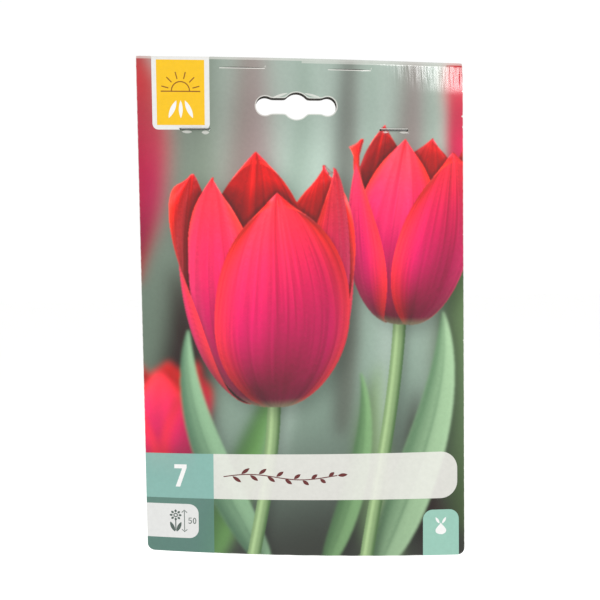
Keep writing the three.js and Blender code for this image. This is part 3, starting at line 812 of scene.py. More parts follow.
def panel(box, lower_left=0.0, lower_right=0.0, upper_right=0.0, upper_left=0.0):
    """A box with rounded corners."""
    corners = [
        (box.left, box.bottom, lower_left, 1, 1, 180),
        (box.right, box.bottom, lower_right, -1, 1, 270),
        (box.right, box.top, upper_right, -1, -1, 0),
        (box.left, box.top, upper_left, 1, -1, 90),
    ]
    points = []
    for x, z, radius, across, up, start in corners:
        if radius:
            steps = max(4, int(radius * 2.5))
            points.append(arc(x + across * radius, z + up * radius, radius, start, start + 90, steps))
        else:
            points.append(np.array([[x, z]]))
    return np.vstack(points)


def each(loops, colour, cover=1):
    """One ink for each loop, so that they don't cut holes in each other."""
    return [Ink([loop], colour, cover) for loop in loops]


def ring(x, z, outer, inner, steps):
    """A disc with a hole."""
    return [arc(x, z, radius, 0, 360, steps)[:-1] for radius in (outer, inner)]


def stroke(points, width):
    """A line of even width with square ends."""
    points = np.asarray(points, float)
    along = unit(np.gradient(points, axis=0))
    side = np.stack([-along[:, 1], along[:, 0]], 1) * width / 2
    return np.vstack([points + side, (points - side)[::-1]])


def lens(start, end, width, steps=8):
    """A leaf-shaped loop between two points."""
    start, end = np.asarray(start, float), np.asarray(end, float)
    share = np.linspace(0, 1, steps + 1)[:, None]
    spine = start + (end - start) * share
    side = unit(np.array([start[1] - end[1], end[0] - start[0]]))
    side = side * width / 2 * np.sin(np.pi * share) ** 0.8
    return np.vstack([spine + side, (spine - side)[-2:0:-1]])


def spokes(x, z, near, far, angles):
    """The two ends of each line that runs out from a centre, at angles in degrees."""
    ends = []
    for angle in np.radians(angles):
        step = np.array([math.cos(angle), math.sin(angle)])
        ends.append(((x, z) + near * step, (x, z) + far * step))
    return ends


def placed(x, z, size, points):
    """Points of a mark drawn at size 1, at its place and size."""
    return np.array([(x, z)]) + size * np.array(points)


def numeral_seven(x, z, height):
    """A plain 7 with its upper left corner at x and z."""
    outline = [(0, 0), (0.52, 0), (0.52, -0.15), (0.235, -1), (0.045, -1), (0.33, -0.18), (0, -0.18)]
    return [placed(x, z, height, outline)]


def numeral_five(x, z, height):
    """A plain 5 with its upper left corner at x and z."""
    line = [(0.5, -0.07), (0.1, -0.07), (0.08, -0.46), (0.28, -0.4), (0.46, -0.52), (0.47, -0.74)]
    line += [(0.34, -0.92), (0.16, -0.93), (0.02, -0.82)]
    return [stroke(placed(x, z, height, line), 0.14 * height)]


def numeral_nought(x, z, height):
    """A plain 0 with its upper left corner at x and z."""
    circle = arc(0, 0, 1, 0, 360, 16)[:-1]
    radii = [(0.27, 0.5), (0.13, 0.36)]
    return [placed(x, z, height, circle * radius + (0.27, -0.5)) for radius in radii]


def sun_mark(box):
    """Half a sun on the horizon, with rays over it."""
    x, z = (box.left + box.right) / 2, box.bottom + 12.6
    line = 0.42
    lines = [[(box.left + 1.6, z), (box.right - 1.6, z)], arc(x, z + 0.2, 3.4, 0, 180, 16)]
    return [stroke(points, line) for points in lines + spokes(x, z, 4.7, 7.4, range(15, 180, 30))]


def furrow_mark(box):
    """Three ploughed furrows that fan out below the horizon."""
    x, z = (box.left + box.right) / 2, box.bottom + 9.2
    return [lens((x + 1.6 * s, z), (x + 4.6 * s, z - 6.6), 1.5 + 0.3 * abs(s)) for s in (-1, 0, 1)]


def sprig_mark(left, right, z):
    """A leafy sprig lying along the title band."""
    run = np.linspace(left, right, 40)
    stem = np.stack([run, z + 1.1 * np.sin(2.2 * np.pi * (run - left) / (right - left))], 1)
    loops = [stroke(stem, 0.42)]
    for number in range(12):
        at = stem[3 + 3 * number]
        side = 1 if number % 2 else -1
        size = 4.6 - 0.14 * number
        loops.append(lens(at + (0.1, side * 0.3), at + (0.78 * size, side * 0.62 * size), 1.5))
    return [*loops, lens(stem[-1] + (0.2, 0), stem[-1] + (4.2, 0.4), 1.5)]


def flower_symbol(x, z):
    """A small plain flower with two leaves, its foot at x and z: its ringed heart first."""
    loops = ring(x, z + 7.3, 0.95, 0.5, 14)
    loops += [lens(*ends, 1.0, 5) for ends in spokes(x, z + 7.3, 1.1, 2.5, EVERY_EIGHTH)]
    loops.append(stroke([(x, z + 5.0), (x, z + 0.4)], 0.45))
    return loops + [lens((x + 0.35 * side, z), (x + 2.3 * side, z + 4.4), 1.5) for side in (-1, 1)]


def height_arrow(x, low, high):
    """A line with an arrowhead at each end."""
    loops = [stroke([(x, low + 0.5), (x, high - 0.5)], 0.3)]
    for tip, inward in ((low, 1), (high, -1)):
        head = [(x - 1.1, tip + 1.2 * inward), (x, tip + 0.1 * inward), (x + 1.1, tip + 1.2 * inward)]
        loops.append(stroke(head, 0.34))
    return loops


def bulb_symbol(x, z, size):
    """A bulb with two young leaves, its root end at x and z."""
    half = through([(0.12, 0), (0.42, 0.16), (0.5, 0.42), (0.32, 0.72), (0.08, 0.98), (0, 1.12)], 4)
    loops = [placed(x, z, size, np.vstack([half, (half * (-1, 1))[-2:0:-1]]))]
    for side in (-1, 1):
        foot, tip = placed(x, z, size, [(0.12 * side, 1.02), (0.5 * side, 1.62)])
        loops.append(lens(foot, tip, 0.24 * size, 5))
    return loops


def front_print(inks):
    """What is printed over the picture on the card's front and round the fold, lowest first."""
    flower = flower_symbol(-53.2, -91.3)
    return [
        Ink([panel(FOOT_STRIP)], inks.strip, 0.8),
        Ink([panel(COUNT_BLOCK)], inks.block, 0.93),
        Ink(numeral_seven(-53.4, -61.9, 9.6), inks.white, 1),
        Ink([panel(TITLE_BAND, 0, 7, 7, 0)], inks.band, 0.84),
        *each(sprig_mark(-33.5, 12.5, -66.8), inks.sprig),
        Ink([panel(HEIGHT_PILL, 0, 4, 4, 0)], inks.white * 0.87, 0.96),
        *each(flower[2:], inks.symbol),
        Ink(flower[:2], inks.symbol, 1),
        *each(height_arrow(-49.6, -91.3, -81.6), inks.symbol),
        Ink(numeral_five(-48.0, -84.9, 2.7), inks.symbol, 1),
        Ink(numeral_nought(-46.2, -84.9, 2.7), inks.symbol, 1),
        Ink([panel(GRADE_TAB, 0, 0, 4, 4)], inks.tab, 0.97),
        *each(bulb_symbol(55.1, -91.4, 4.4), inks.white),
        Ink([panel(LABEL_FRAME, 2.2, 2.2, 0, 0)], inks.white * 0.9, 1),
        Ink([panel(LABEL_FIELD)], inks.label, 1),
        *each(sun_mark(LABEL_FIELD), inks.label_line),
        *each(furrow_mark(LABEL_FIELD), inks.white),
    ]


def flap_print(sheet, inks):
    """The flap's own panel: a calendar bar, upside down on the flat sheet."""
    months, half, pitch = 12, 2.6, 6.6
    planting = (8, 9, 10)
    prints = [Ink([panel(Box(-66, sheet.fold_end - 1.0, 66, sheet.end + 1))], inks.block, 1)]
    z = sheet.end - 4.9
    for month in range(months):
        x = (months / 2 - month - 0.5) * pitch
        square = panel(Box(x - half, z - half, x + half, z + half), 0.8, 0.8, 0.8, 0.8)
        prints.append(Ink([square], inks.label if month in planting else inks.white, 1))
    return prints


def back_print(sheet, inks):
    """On the board's uncoated side: painted shade round the flap's slot, a near-black ring for the dark
    gap between the boards that shows through the front's slot, and planting symbols above the bulbs:
    sun, bulb in the ground, and rain."""
    # Painted shade: a near-black ring round the flap's slot, for the shadowed gap between the boards
    prints = [Ink([sheet.behind(sheet.slot(1.1))], linear("#1E1A16"), 0.93)]
    z, pitch, radius = 38, 30, 9.5
    for number in (-1, 0, 1):
        prints.append(Ink(ring(number * pitch, z, radius, radius - 0.8, 40), inks.strip, 0.85))
    marks = [arc(-pitch, z, 3.2, 0, 360, 20)[:-1]]
    marks += [stroke(ends, 0.8) for ends in spokes(-pitch, z, 4.3, 6.8, EVERY_EIGHTH)]
    marks += [stroke([(x, z + 3), (x + 4.5, z + 3)], 0.7) for x in (-7, 2.5)]
    marks += bulb_symbol(0, z - 6.2, 6)
    for x, up in ((-3, 0), (0, 3), (3, 0)):
        marks.append(lens((pitch + x, z - 4.5 + up), (pitch + x, z + 2 + up), 2.4))
    return prints + each(marks, inks.strip, 0.85)


def inside_loops(loops, x, z):
    """Whether points lie inside loops, which cut holes in each other."""
    found = np.zeros(len(x), bool)
    for loop in loops:
        low, high = loop.min(0), loop.max(0)
        near = np.nonzero((x > low[0]) & (x < high[0]) & (z > low[1]) & (z < high[1]))[0]
        px, pz = x[near], z[near]
        crossed = np.zeros(len(near), bool)
        for (ax, az), (bx, bz) in zip(loop, np.roll(loop, -1, 0)):
            if az != bz:
                spans = (az > pz) != (bz > pz)
                crossed ^= spans & (px < ax + (pz - az) * (bx - ax) / (bz - az))
        found[near] ^= crossed
    return found


# The card, in millimetres

EDGE_STEP = 1.3
PRINT_STEP = 1.2
SLIT_OPENING = 0.28
STAPLE_HOLE = 0.45
WORN_RIM = 0.3
RIM_CORNER = 2.7
BACK_SPACING = 2.4
COLOUR_STEP = 0.075


class Sheet:
    """The card's board, flat and folded. Flat places are millimetres across and up from the middle of its
    front; past the fold the sheet runs on over the flap."""

    slot_drop = 0.7

    def __init__(self, card, staples):
        self.card = card
        self.staples = staples
        self.half = card.gap / 2 + card.board
        self.left, self.right = -card.width / 2, card.width / 2
        self.foot = -card.height / 2
        self.fold = card.height / 2 - self.half
        self.fold_end = self.fold + math.pi * self.half
        self.end = self.fold_end + card.flap - self.half
        self.top = card.slot_below_fold
        self.middle_z = self.top - card.height / 2
        self.slot_x = -card.side_shift
        self.slot_up = card.height / 2 - card.slot_below_fold - card.slot_arch
        self.slit_up = card.height / 2 - card.slit_below_fold
        self.staple_up = card.height / 2 - staples.below_fold

    def mirrored(self, up):
        """The place on the flap behind a place on the front."""
        return self.fold + self.fold_end - up

    def behind(self, slot):
        """The slot's loop on the flap, where it sits slot_drop higher on the folded card."""
        return np.stack([slot[:, 0], self.mirrored(slot[:, 1]) + self.slot_drop], 1)

    def raw(self, x, z):
        across = (x - self.card.side_shift) / (self.card.width / 2)
        high = (z - self.middle_z) / (self.card.height / 2)
        return -self.card.bow * across**2 - self.card.twist * across * high

    def proud(self, x, z):
        """How far the card stands towards the viewer at a place on it."""
        return self.raw(x, z) - self.raw(0, 0)

    def forms(self, across, up):
        """Small local forms, towards the viewer: the pulled shoulders, the slits' lips, the staples' dents,
        the lips over the slot, a dent at the left edge and a crease at the right."""
        near = np.minimum(up, self.mirrored(up))
        shoulder = -1.1 * np.clip((near - 87) / 13, 0, 1.1) ** 1.45 * eased(across, 10, 60)
        shoulder = shoulder - 0.5 * np.clip((near - 91) / 8, 0, 1.1) ** 1.6 * eased(across, -30, -62)
        crown = self.staples.crown
        above, away = up - self.slit_up, up - self.staple_up
        lips = 0
        for side in (-1, 1):
            along = bell(across - self.slot_x - side * self.card.slit_side, 0.42 * self.card.slit, 4)
            lips = lips + 0.35 * along * bell(above + 0.9, 1.0) * (above < 0)
            beside = across - self.slot_x - side * self.staples.side
            lips = lips - 0.28 * bell(beside, 0.55 * crown, 4) * bell(away, 0.9)
            for end in (-1, 1):
                lips = lips + 0.15 * bell(beside - end * 0.42 * crown, 1.5) * bell(away + 1.5, 1.0)
        for x, width in ((-6.4, 3.2), (6.2, 4.2)):
            lips = lips + 0.5 * bell(across - self.slot_x - x, width) * bell(up - self.slot_up - 3.4, 0.8)
        dent_x = -51 - 4.5 * np.cos((up - 4) / 9)
        dent = 0.55 * bell(across - dent_x, 2.6) * bell(up + 1, 13)
        crease = 0.25 * bell(up + 38.5 - 0.3 * (across - 55), 1.4) * eased(across, 50, 60)
        return shoulder + (lips + dent + crease) * eased(up, self.fold + 1.5, self.fold - 3)

    def place(self, across, up, depth):
        """Folded points for flat places, depth behind the printed face."""
        angle = np.clip((up - self.fold) / self.half, 0, math.pi)
        reach = self.half - depth
        y = -reach * np.cos(angle)
        high = np.minimum(up, self.fold) + reach * np.sin(angle) - np.maximum(up - self.fold_end, 0)
        x = across + self.card.side_shift
        z = high + self.middle_z
        return np.stack([x, y - self.proud(x, z) - self.forms(across, up), z], -1)

    def outline(self):
        """The sheet's outer edge."""
        box = Box(self.left, self.foot, self.right, self.end)
        return subdivided(panel(box, *[self.card.corner] * 4), EDGE_STEP)

    def slot(self, grow=0.0):
        """The hang slot in the front: a bar with round ends and a bulge in its middle, softly joined."""
        card = self.card
        end, arch, bar = card.slot_end + grow, card.slot_arch + grow, card.slot_bar / 2 + grow
        end_x = card.slot_width / 2 - card.slot_end
        turn = math.degrees(math.asin(bar / end))
        rise = math.degrees(math.asin(bar / arch))
        x, z = self.slot_x, self.slot_up
        arcs = [
            arc(x + end_x, z, end, turn - 180, 180 - turn, 22),
            arc(x, z, arch, rise, 180 - rise, 12),
            arc(x - end_x, z, end, turn, 360 - turn, 22),
            arc(x, z, arch, 180 + rise, 360 - rise, 12),
        ]
        loop = subdivided(np.vstack(arcs), 0.4)
        for _ in range(6):
            loop = (np.roll(loop, 1, 0) + 2 * loop + np.roll(loop, -1, 0)) / 4
        return loop[::2]

    def holes(self):
        """Every cut through the sheet: both slots, the slits and the staple holes."""
        slot = subdivided(self.slot(), 0.8)
        cuts = [slot, self.behind(slot)]
        half, reach = self.card.slit / 2, (self.staples.crown - self.staples.wire) / 2
        for side in (-1, 1):
            x = self.slot_x + side * self.card.slit_side
            cuts.append(lens((x - half, self.slit_up), (x + half, self.slit_up), SLIT_OPENING, 14))
            for end in (-1, 1):
                leg = self.slot_x + side * self.staples.side + end * reach
                for up in (self.staple_up, self.mirrored(self.staple_up)):
                    cuts.append(arc(leg, up, STAPLE_HOLE, 0, 360, 10)[:-1])
        return cuts


def wear_and_highlights(sheet):
    """Pale marks on the film: bare and scuffed paper round the slot and in nicks along the right edge,
    pale lenses on the bumps over the slot, pale lines along the slits, and painted highlights: along
    the fold, a pale line over the right staple's wire for its lit top, and glints under the staples'
    ends where their dents catch the light."""
    pale = linear(BARE_PAPER_AND_HIGHLIGHT)
    x, z = sheet.slot_x, sheet.slot_up
    marks = [Ink([subdivided(sheet.slot(0.38), 0.8)], pale, 0.55)]
    # Two pale lenses on the small bumps above the slot
    over_slot = [((x - 9.4, z + 3.1), (x - 3.4, z + 4.9)), ((x + 2.9, z + 4.9), (x + 9.4, z + 3.3))]
    marks += each([lens(*ends, 0.9, 10) for ends in over_slot], pale, 0.6)
    edge = sheet.right + 0.2
    for up, size in ((88.5, 1.1), (78.5, 1.5), (74.2, 1.0), (31.0, 0.7), (-12.0, 0.8)):
        nick = [(edge, up + size / 2), (sheet.right - 0.55 * size, up + 0.1), (edge, up - size / 2)]
        marks.append(Ink([np.array(nick)], pale, 0.9))
    # Painted highlight: a pale band on the fold's curve across the whole width, and a second one just under it
    # over the right part
    marks.append(Ink([panel(Box(sheet.left, sheet.fold + 0.7, sheet.right, sheet.fold + 2.1))], pale, 0.45))
    marks.append(Ink([panel(Box(-2, sheet.fold - 0.2, 58, sheet.fold + 0.7))], pale, 0.35))
    # At each staple, painted highlights: two glints under the wire's ends, where the dents catch the light.
    # Their start and length, in half crowns and millimetres, and their width
    glints = {-1: ((-0.85, 4.0, 1.3), (0.45, 3.0, 1.7)), 1: ((-0.8, 2.4, 0.8), (0.4, 3.2, 1.0))}
    for side in (-1, 1):
        middle, half, up = x + side * sheet.staples.side, sheet.staples.crown / 2, sheet.staple_up
        # Painted highlight: a pale line just above the right staple's wire, for the lit top of the wire
        if side > 0:
            line = stroke([(middle - half, up + 0.5), (middle + half, up + 0.5)], 0.34)
            marks.append(Ink([line], pale, 0.75))
        for start, reach, wide in glints[side]:
            left = middle + start * half
            ends = (left, up - 0.3 - wide / 2), (left + reach, up - 0.4 - wide / 2)
            marks += each([lens(*ends, wide, 8), lens(*ends, wide * 0.6, 8)], pale, 0.35)
    for side in (-1, 1):
        middle, half, up = x + side * sheet.card.slit_side, sheet.card.slit / 2, sheet.slit_up
        tip = middle + half
        marks.append(Ink([lens((tip, up), (tip + 0.3, up + 0.9), 0.4, 4)], pale, 0.4))
        marks.append(Ink([stroke([(middle - half, up - 0.32), (tip, up - 0.32)], 0.3)], pale, 0.75))
    return marks


def picture_points(sheet, picture, loops):
    """Places for the picture's triangles: close together where its colour changes, far apart elsewhere."""
    card = sheet.card
    seen = softened(np.sqrt(picture), 0.25)
    change = np.hypot(*(np.abs(part).sum(-1) for part in np.gradient(seen, CELL, axis=(0, 1))))
    change = np.maximum(softened(change, 0.35), 1e-4)
    wanted = np.clip(COLOUR_STEP / change, card.finest, card.coarsest)
    spacings = [card.finest * 2**step for step in range(4) if card.finest * 2**step < card.coarsest * 1.4]
    shape = int(2 * (sheet.right + 1) / CELL) + 2, int((sheet.end - sheet.foot + 4) / CELL) + 2
    taken = np.zeros(shape, bool)

    def cell(places):
        return np.round((places - (sheet.left, sheet.foot) + 1) / CELL).astype(int).T

    for loop in loops:
        column, row = cell(subdivided(loop, 0.12))
        keep = (column > 0) & (row > 0) & (column < shape[0] - 1) & (row < shape[1] - 1)
        for step_x in (-1, 0, 1):
            for step_z in (-1, 0, 1):
                taken[column[keep] + step_x, row[keep] + step_z] = True
    points = []
    for lowest, spacing, highest in zip([0, *spacings[1:]], spacings, [*spacings[1:], np.inf]):
        x = np.arange(sheet.left + spacing / 2, sheet.right, spacing)
        z = np.arange(sheet.foot + spacing / 2, sheet.end, spacing * 0.87)
        places = grid(x, z)
        places[:, 0] += spacing / 2 * (np.arange(len(z)) % 2).repeat(len(x))
        x, z = places.T
        need = sampled(wanted[..., None], x, z)[:, 0]
        need = np.where(z > sheet.fold - 3, np.minimum(need, 1.1), need)
        need = np.where(z > sheet.fold_end, card.coarsest, need)
        keep = (need >= lowest) & (need < highest) & (x < sheet.right - 0.3)
        column, row = cell(places)
        keep &= ~taken[np.clip(column, 0, shape[0] - 1), np.clip(row, 0, shape[1] - 1)]
        points.append(places[keep])
    return np.vstack(points)


def loop_edges(loops, start=0):
    """The edges of loops whose points are numbered on from start."""
    edges = []
    for loop in loops:
        size = len(loop)
        edges += [(start + i, start + (i + 1) % size) for i in range(size)]
        start += size
    return edges


def triangulated(places, edges, merge):
    """Triangles over flat places that keep the edges. Gives the places, the triangles, and for each place the
    ones that it was made from."""
    points = [Vector(place) for place in places]
    found, _, triangles, origin, *_ = delaunay_2d_cdt(points, edges, [], 0, merge, True)
    return np.array([place[:] for place in found]), np.array([triangle[:] for triangle in triangles]), origin


def printed_colours(places, triangles, base, prints):
    """Each triangle's colour at its three corners, from the base colour and the inks over it."""
    corners = places[triangles]
    colour = base(corners[..., 0], corners[..., 1])
    middle = corners.mean(1)
    for loops, tint, cover in prints:
        hit = inside_loops(loops, middle[:, 0], middle[:, 1])
        colour[hit] = colour[hit] * (1 - cover) + tint * cover
    return colour


def kept_triangles(sheet, places, triangles, cuts):
    """The triangles inside the sheet's outline and outside its cuts."""
    middle = places[triangles].mean(1)
    keep = inside_loops([sheet.outline()], middle[:, 0], middle[:, 1])
    return triangles[keep & ~inside_loops(cuts, middle[:, 0], middle[:, 1])]


def printed_face(sheet, inks, cuts):
    """The card's face, flat: its places, its triangles and their corners' colours."""
    picture = paint_picture(inks)
    prints = front_print(inks) + flap_print(sheet, inks) + wear_and_highlights(sheet)
    inset = WORN_RIM
    rim = Box(sheet.left + inset, sheet.foot + inset, sheet.right - inset, sheet.end - inset)
    fixed = [sheet.outline(), subdivided(panel(rim, *[RIM_CORNER] * 4), EDGE_STEP), *cuts]
    fixed += [subdivided(loop, PRINT_STEP) for layer in prints for loop in layer.loops]
    places = np.vstack([*fixed, picture_points(sheet, picture, fixed)])
    places, triangles, _ = triangulated(places, loop_edges(fixed), 1e-5)
    used, triangles = np.unique(kept_triangles(sheet, places, triangles, cuts), return_inverse=True)
    places, triangles = places[used], triangles.reshape(-1, 3)

    def base(x, z):
        edge = np.minimum(np.minimum(x - sheet.left, sheet.right - x), z - sheet.foot)
        worn = eased(edge, WORN_RIM, 0.0) * (0.45 + 0.35 * np.sin(1.7 * z + 0.6 * x) * np.sin(0.61 * z))
        return mixed(sampled(picture, x, z), linear(BARE_PAPER_AND_HIGHLIGHT), np.clip(worn, 0, 1))

    return places, triangles, printed_colours(places, triangles, base, prints)


def back_points(sheet, cuts):
    """Places inside the uncoated back, evenly spaced, and in close rows round the fold."""
    x = np.arange(sheet.left + BACK_SPACING / 2, sheet.right - 1, BACK_SPACING)
    points = grid(x, np.arange(sheet.foot + BACK_SPACING / 2, sheet.end - 1, BACK_SPACING))
    rows = np.arange(sheet.fold - 1, sheet.fold_end + 1, 0.5)
    points = points[(points[:, 1] < rows[0] - 1) | (points[:, 1] > rows[-1] + 1)]
    points = np.vstack([points, grid(np.arange(sheet.left + 2, sheet.right - 1, 5), rows)])
    for cut in cuts:
        points = points[~((points > cut.min(0) - 0.3) & (points < cut.max(0) + 0.3)).all(1)]
    return points


def uncoated_face(sheet, inks, cuts, rim):
    """The card's back, flat: its places, its triangles, their corners' colours, and each rim place's number.
    rim is the face's edge, as places and pairs of them."""
    rim_places, rim_edges = rim
    marks = back_print(sheet, inks)
    loops = [subdivided(loop, PRINT_STEP) for layer in marks for loop in layer.loops]
    flat = np.vstack([rim_places, *loops, back_points(sheet, cuts)])
    edges = rim_edges + loop_edges(loops, len(rim_places))
    places, triangles, origin = triangulated(flat, edges, 1e-6)
    triangles = kept_triangles(sheet, places, triangles, cuts)
    number = np.full(len(flat), -1)
    for index, sources in enumerate(origin):
        number[sources] = index

    def base(x, z):
        return np.broadcast_to(inks.board_back, (*x.shape, 3)).copy()

    return places, triangles, printed_colours(places, triangles, base, marks), number


def build_card(sheet, inks):
    """The folded card as one closed mesh: printed face, uncoated back and a cut edge all round."""
    cuts = sheet.holes()
    places, triangles, front_colour = printed_face(sheet, inks, cuts)
    directed = np.concatenate([triangles[:, [0, 1]], triangles[:, [1, 2]], triangles[:, [2, 0]]])
    _, first, times = np.unique(np.sort(directed, 1), axis=0, return_index=True, return_counts=True)
    rim_edges = directed[first[times == 1]]
    rim_points, inner_edges = np.unique(rim_edges, return_inverse=True)
    inner_edges = inner_edges.reshape(-1, 2)
    rim = places[rim_points], [tuple(edge) for edge in inner_edges]
    back_places, back, back_colour, number = uncoated_face(sheet, inks, cuts, rim)

    count = len(places)
    wall = []
    for (a, b), (inner_a, inner_b) in zip(rim_edges.tolist(), (count + number[inner_edges]).tolist()):
        wall += [(b, a, inner_a), (b, inner_a, inner_b)]
    faces = [*triangles.tolist(), *(count + back[:, ::-1]).tolist(), *wall]
    outer = sheet.place(places[:, 0], places[:, 1], 0.0)
    inner = sheet.place(back_places[:, 0], back_places[:, 1], sheet.card.board)
    core = np.broadcast_to(inks.board_core, (len(wall), 3, 3))
    colours = np.concatenate([front_colour, back_colour[:, ::-1], core]).reshape(-1, 3)
    kinds = np.repeat([0, 1, 2], [len(triangles), len(back), len(wall)])
    across, up = np.vstack([places, back_places]).T
    pulled = eased(up, 84, 95) * eased(across, 22, 50)
    return np.vstack([outer, inner]), faces, colours, kinds, pulled


class PackCard(bpy.types.Operator):
    """Builds the folded picture card"""

    bl_idname = "bulb_pack.card"
    bl_label = "Picture Card"

    def execute(self, context):
        inks = read(context, "inks")
        sheet = Sheet(read(context, "card"), read(context, "staples"))
        vertices, faces, colours, kinds, pulled = build_card(sheet, inks)
        materials = [laminated_print(), uncoated_board(), cut_board(inks.board_core)]
        named = "folded_picture_card", vertices, faces, materials, kinds, "printed_card", "picture_card"
        piece = new_piece(*named)
        attribute = piece.data.color_attributes.new("print", "FLOAT_COLOR", "CORNER")
        attribute.data.foreach_set("color", np.c_[colours, np.ones(len(colours))].astype(np.float32).ravel())
        stored(piece, "pulled", pulled)
        piece.data.set_sharp_from_angle(angle=math.radians(50))
        return {"FINISHED"}


# The staples


def staple_line(sheet, staples, side):
    """A staple's centre line: crown in front, legs through the header, clinched ends turned in behind."""
    wire = staples.wire
    reach = (staples.crown - wire) / 2
    front = -sheet.half - staples.seat - wire / 2
    behind = sheet.half + 0.3 + wire / 2
    bend = staples.bend - wire / 2
    start, tip = reach - bend, staples.crown / 2 - staples.clinch
    clinch = np.linspace(start, tip, 7)[1:]
    half = [(0, front)]
    half += [(x, front) for x in np.linspace(reach * 0.25, start, 6)]
    half += [tuple(point) for point in arc(start, front + bend, bend, -90, 0, 7)[1:]]
    half += [(reach, y) for y in np.linspace(front + bend, behind - bend, 6)[1:]]
    half += [tuple(point) for point in arc(start, behind - bend, bend, 0, 90, 7)[1:]]
    half += [(x, behind + 0.28 * (start - x) / (start - tip)) for x in clinch]
    flat = np.array([(-x, y) for x, y in half[:0:-1]] + half)
    x = side * staples.side + flat[:, 0]
    z = np.full(len(x), sheet.top - staples.below_fold)
    return np.stack([x, flat[:, 1] - sheet.proud(x, z), z], 1)


class PackStaples(bpy.types.Operator):
    """Builds the two wire staples"""

    bl_idname = "bulb_pack.staples"
    bl_label = "Staples"

    def execute(self, context):
        staples = read(context, "staples")
        sheet = Sheet(read(context, "card"), staples)
        material = drawn_wire()
        for side, name in ((-1, "left"), (1, "right")):
            line = staple_line(sheet, staples, side)
            radii = np.full(len(line), staples.wire / 2)
            radii[[0, -1]] *= 0.55
            radii[[1, -2]] *= 0.9
            wire = tube(line, radii, 14)
            new_piece(f"wire_staple_{name}", *wire, [material], 0, "staple_steel", f"staple_{name}")
        return {"FINISHED"}


# The bulbs

# A bulb's outline in radii: distance from its axis, and height over its widest place
BULB_PROFILE = [(0.0, -0.84), (0.3, -0.87), (0.42, -0.93), (0.66, -0.78), (0.94, -0.36), (1.0, -0.04)]
BULB_PROFILE += [(0.94, 0.32), (0.76, 0.65), (0.48, 0.94), (0.25, 1.14), (0.1, 1.27), (0.0, 1.35)]
BULB_NOSE = 1.36
BULB_FLAT = 0.11
WISPS = 4


def bulb_frames(bulbs):
    """Where each packed bulb lies: its centre, its axis towards the nose and its flattened side."""
    frames = []
    for name in sorted(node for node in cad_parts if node.startswith("bulb_")):
        points = np.array([vertex.co[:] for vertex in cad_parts[name].data.vertices]) / MM
        points = np.unique(points, axis=0)
        middle = points.mean(0)
        nose = points[np.argmax(np.linalg.norm(points - middle, axis=1))]
        for _ in range(3):
            axis = (nose - middle) / np.linalg.norm(nose - middle)
            height = (points - nose) @ axis / bulbs.radius + BULB_NOSE
            middle = points[height < height.min() + 0.12].mean(0)
        centre = nose - axis * BULB_NOSE * bulbs.radius
        away = (points[np.abs(height) < 0.4] - centre).mean(0)
        flat = axis * (away @ axis) - away
        flat /= np.linalg.norm(flat)
        frames.append((name, centre, np.stack([flat, np.cross(axis, flat), axis], 1)))
    return frames


def lumps(angle, height, seed, size):
    """A smooth seeded field round a bulb, about -1 to 1, with lumps of that angle."""
    rng = np.random.default_rng(seed)
    total = 0
    for _ in range(7):
        around = rng.integers(1, max(2, int(2 * math.pi / size)))
        up = rng.uniform(-1, 1) * 2 * math.pi / size
        total = total + np.sin(around * angle + up * height + rng.uniform(0, 2 * math.pi))
    return total / 3.2


def bulb_surface(bulbs, angle, share, lift, seed):
    """A point on a bulb's skin: share runs from the root to the nose, lift stands off it in millimetres."""
    profile = through(BULB_PROFILE, 12)
    run = np.linspace(0, 1, len(profile))
    radius = np.maximum(np.interp(share, run, profile[:, 0]), 0)
    height = np.interp(share, run, profile[:, 1])
    swell = 1 - BULB_FLAT * np.maximum(0, np.cos(angle)) ** 3 + 0.010 * np.cos(5 * angle)
    swell = swell - 0.012 + 0.012 * lumps(angle, height, seed, 1.1) * np.minimum(1, radius * 2)
    lean = 0.05 * eased(height, 0.7, 1.4) * bulbs.radius
    across = radius * bulbs.radius * swell + lift
    x = across * np.cos(angle) + lean * math.cos(seed)
    y = across * np.sin(angle) + lean * math.sin(seed)
    return np.stack([x, y, height * bulbs.radius + 0 * angle], -1)


def bulb_body(bulbs, seed):
    """The bulb's body and how far its tunic is torn at each point."""
    angles = np.linspace(0, 2 * math.pi, bulbs.sides, endpoint=False)
    angle, share = np.meshgrid(angles, np.linspace(0, 1, bulbs.rings + 1)[1:-1])
    height = share * 2 - 1
    tear = lumps(angle, height, seed + 40, 1.5) + 0.35 * lumps(angle, height, seed + 80, 0.35)
    tear = tear * eased(share, 0.98, 0.8) + 0.35 * eased(share, 0.45, 0.15)
    torn = eased(tear, 1.1, 1.5)
    ridges = 0.10 * np.sin(17 * angle + 2 * np.sin(3 * height + seed)) * eased(share, 0.2, 0.6)
    lift = -0.45 * torn + ridges * (1 - torn) + 0.25 * lumps(angle, height, seed + 9, 0.5) * (1 - torn)
    skin = bulb_surface(bulbs, angle, share, lift, seed)
    ends = bulb_surface(bulbs, np.zeros(2), np.array([0.0, 1.0]), 0.0, seed)
    rows, sides = angle.shape
    faces = ring_faces(rows, sides)
    last = (rows - 1) * sides
    for turn in range(sides):
        after = (turn + 1) % sides
        faces += [[rows * sides, after, turn], [rows * sides + 1, last + turn, last + after]]
    return np.vstack([skin.reshape(-1, 3), ends]), faces, np.concatenate([torn.ravel(), [0, 0]])


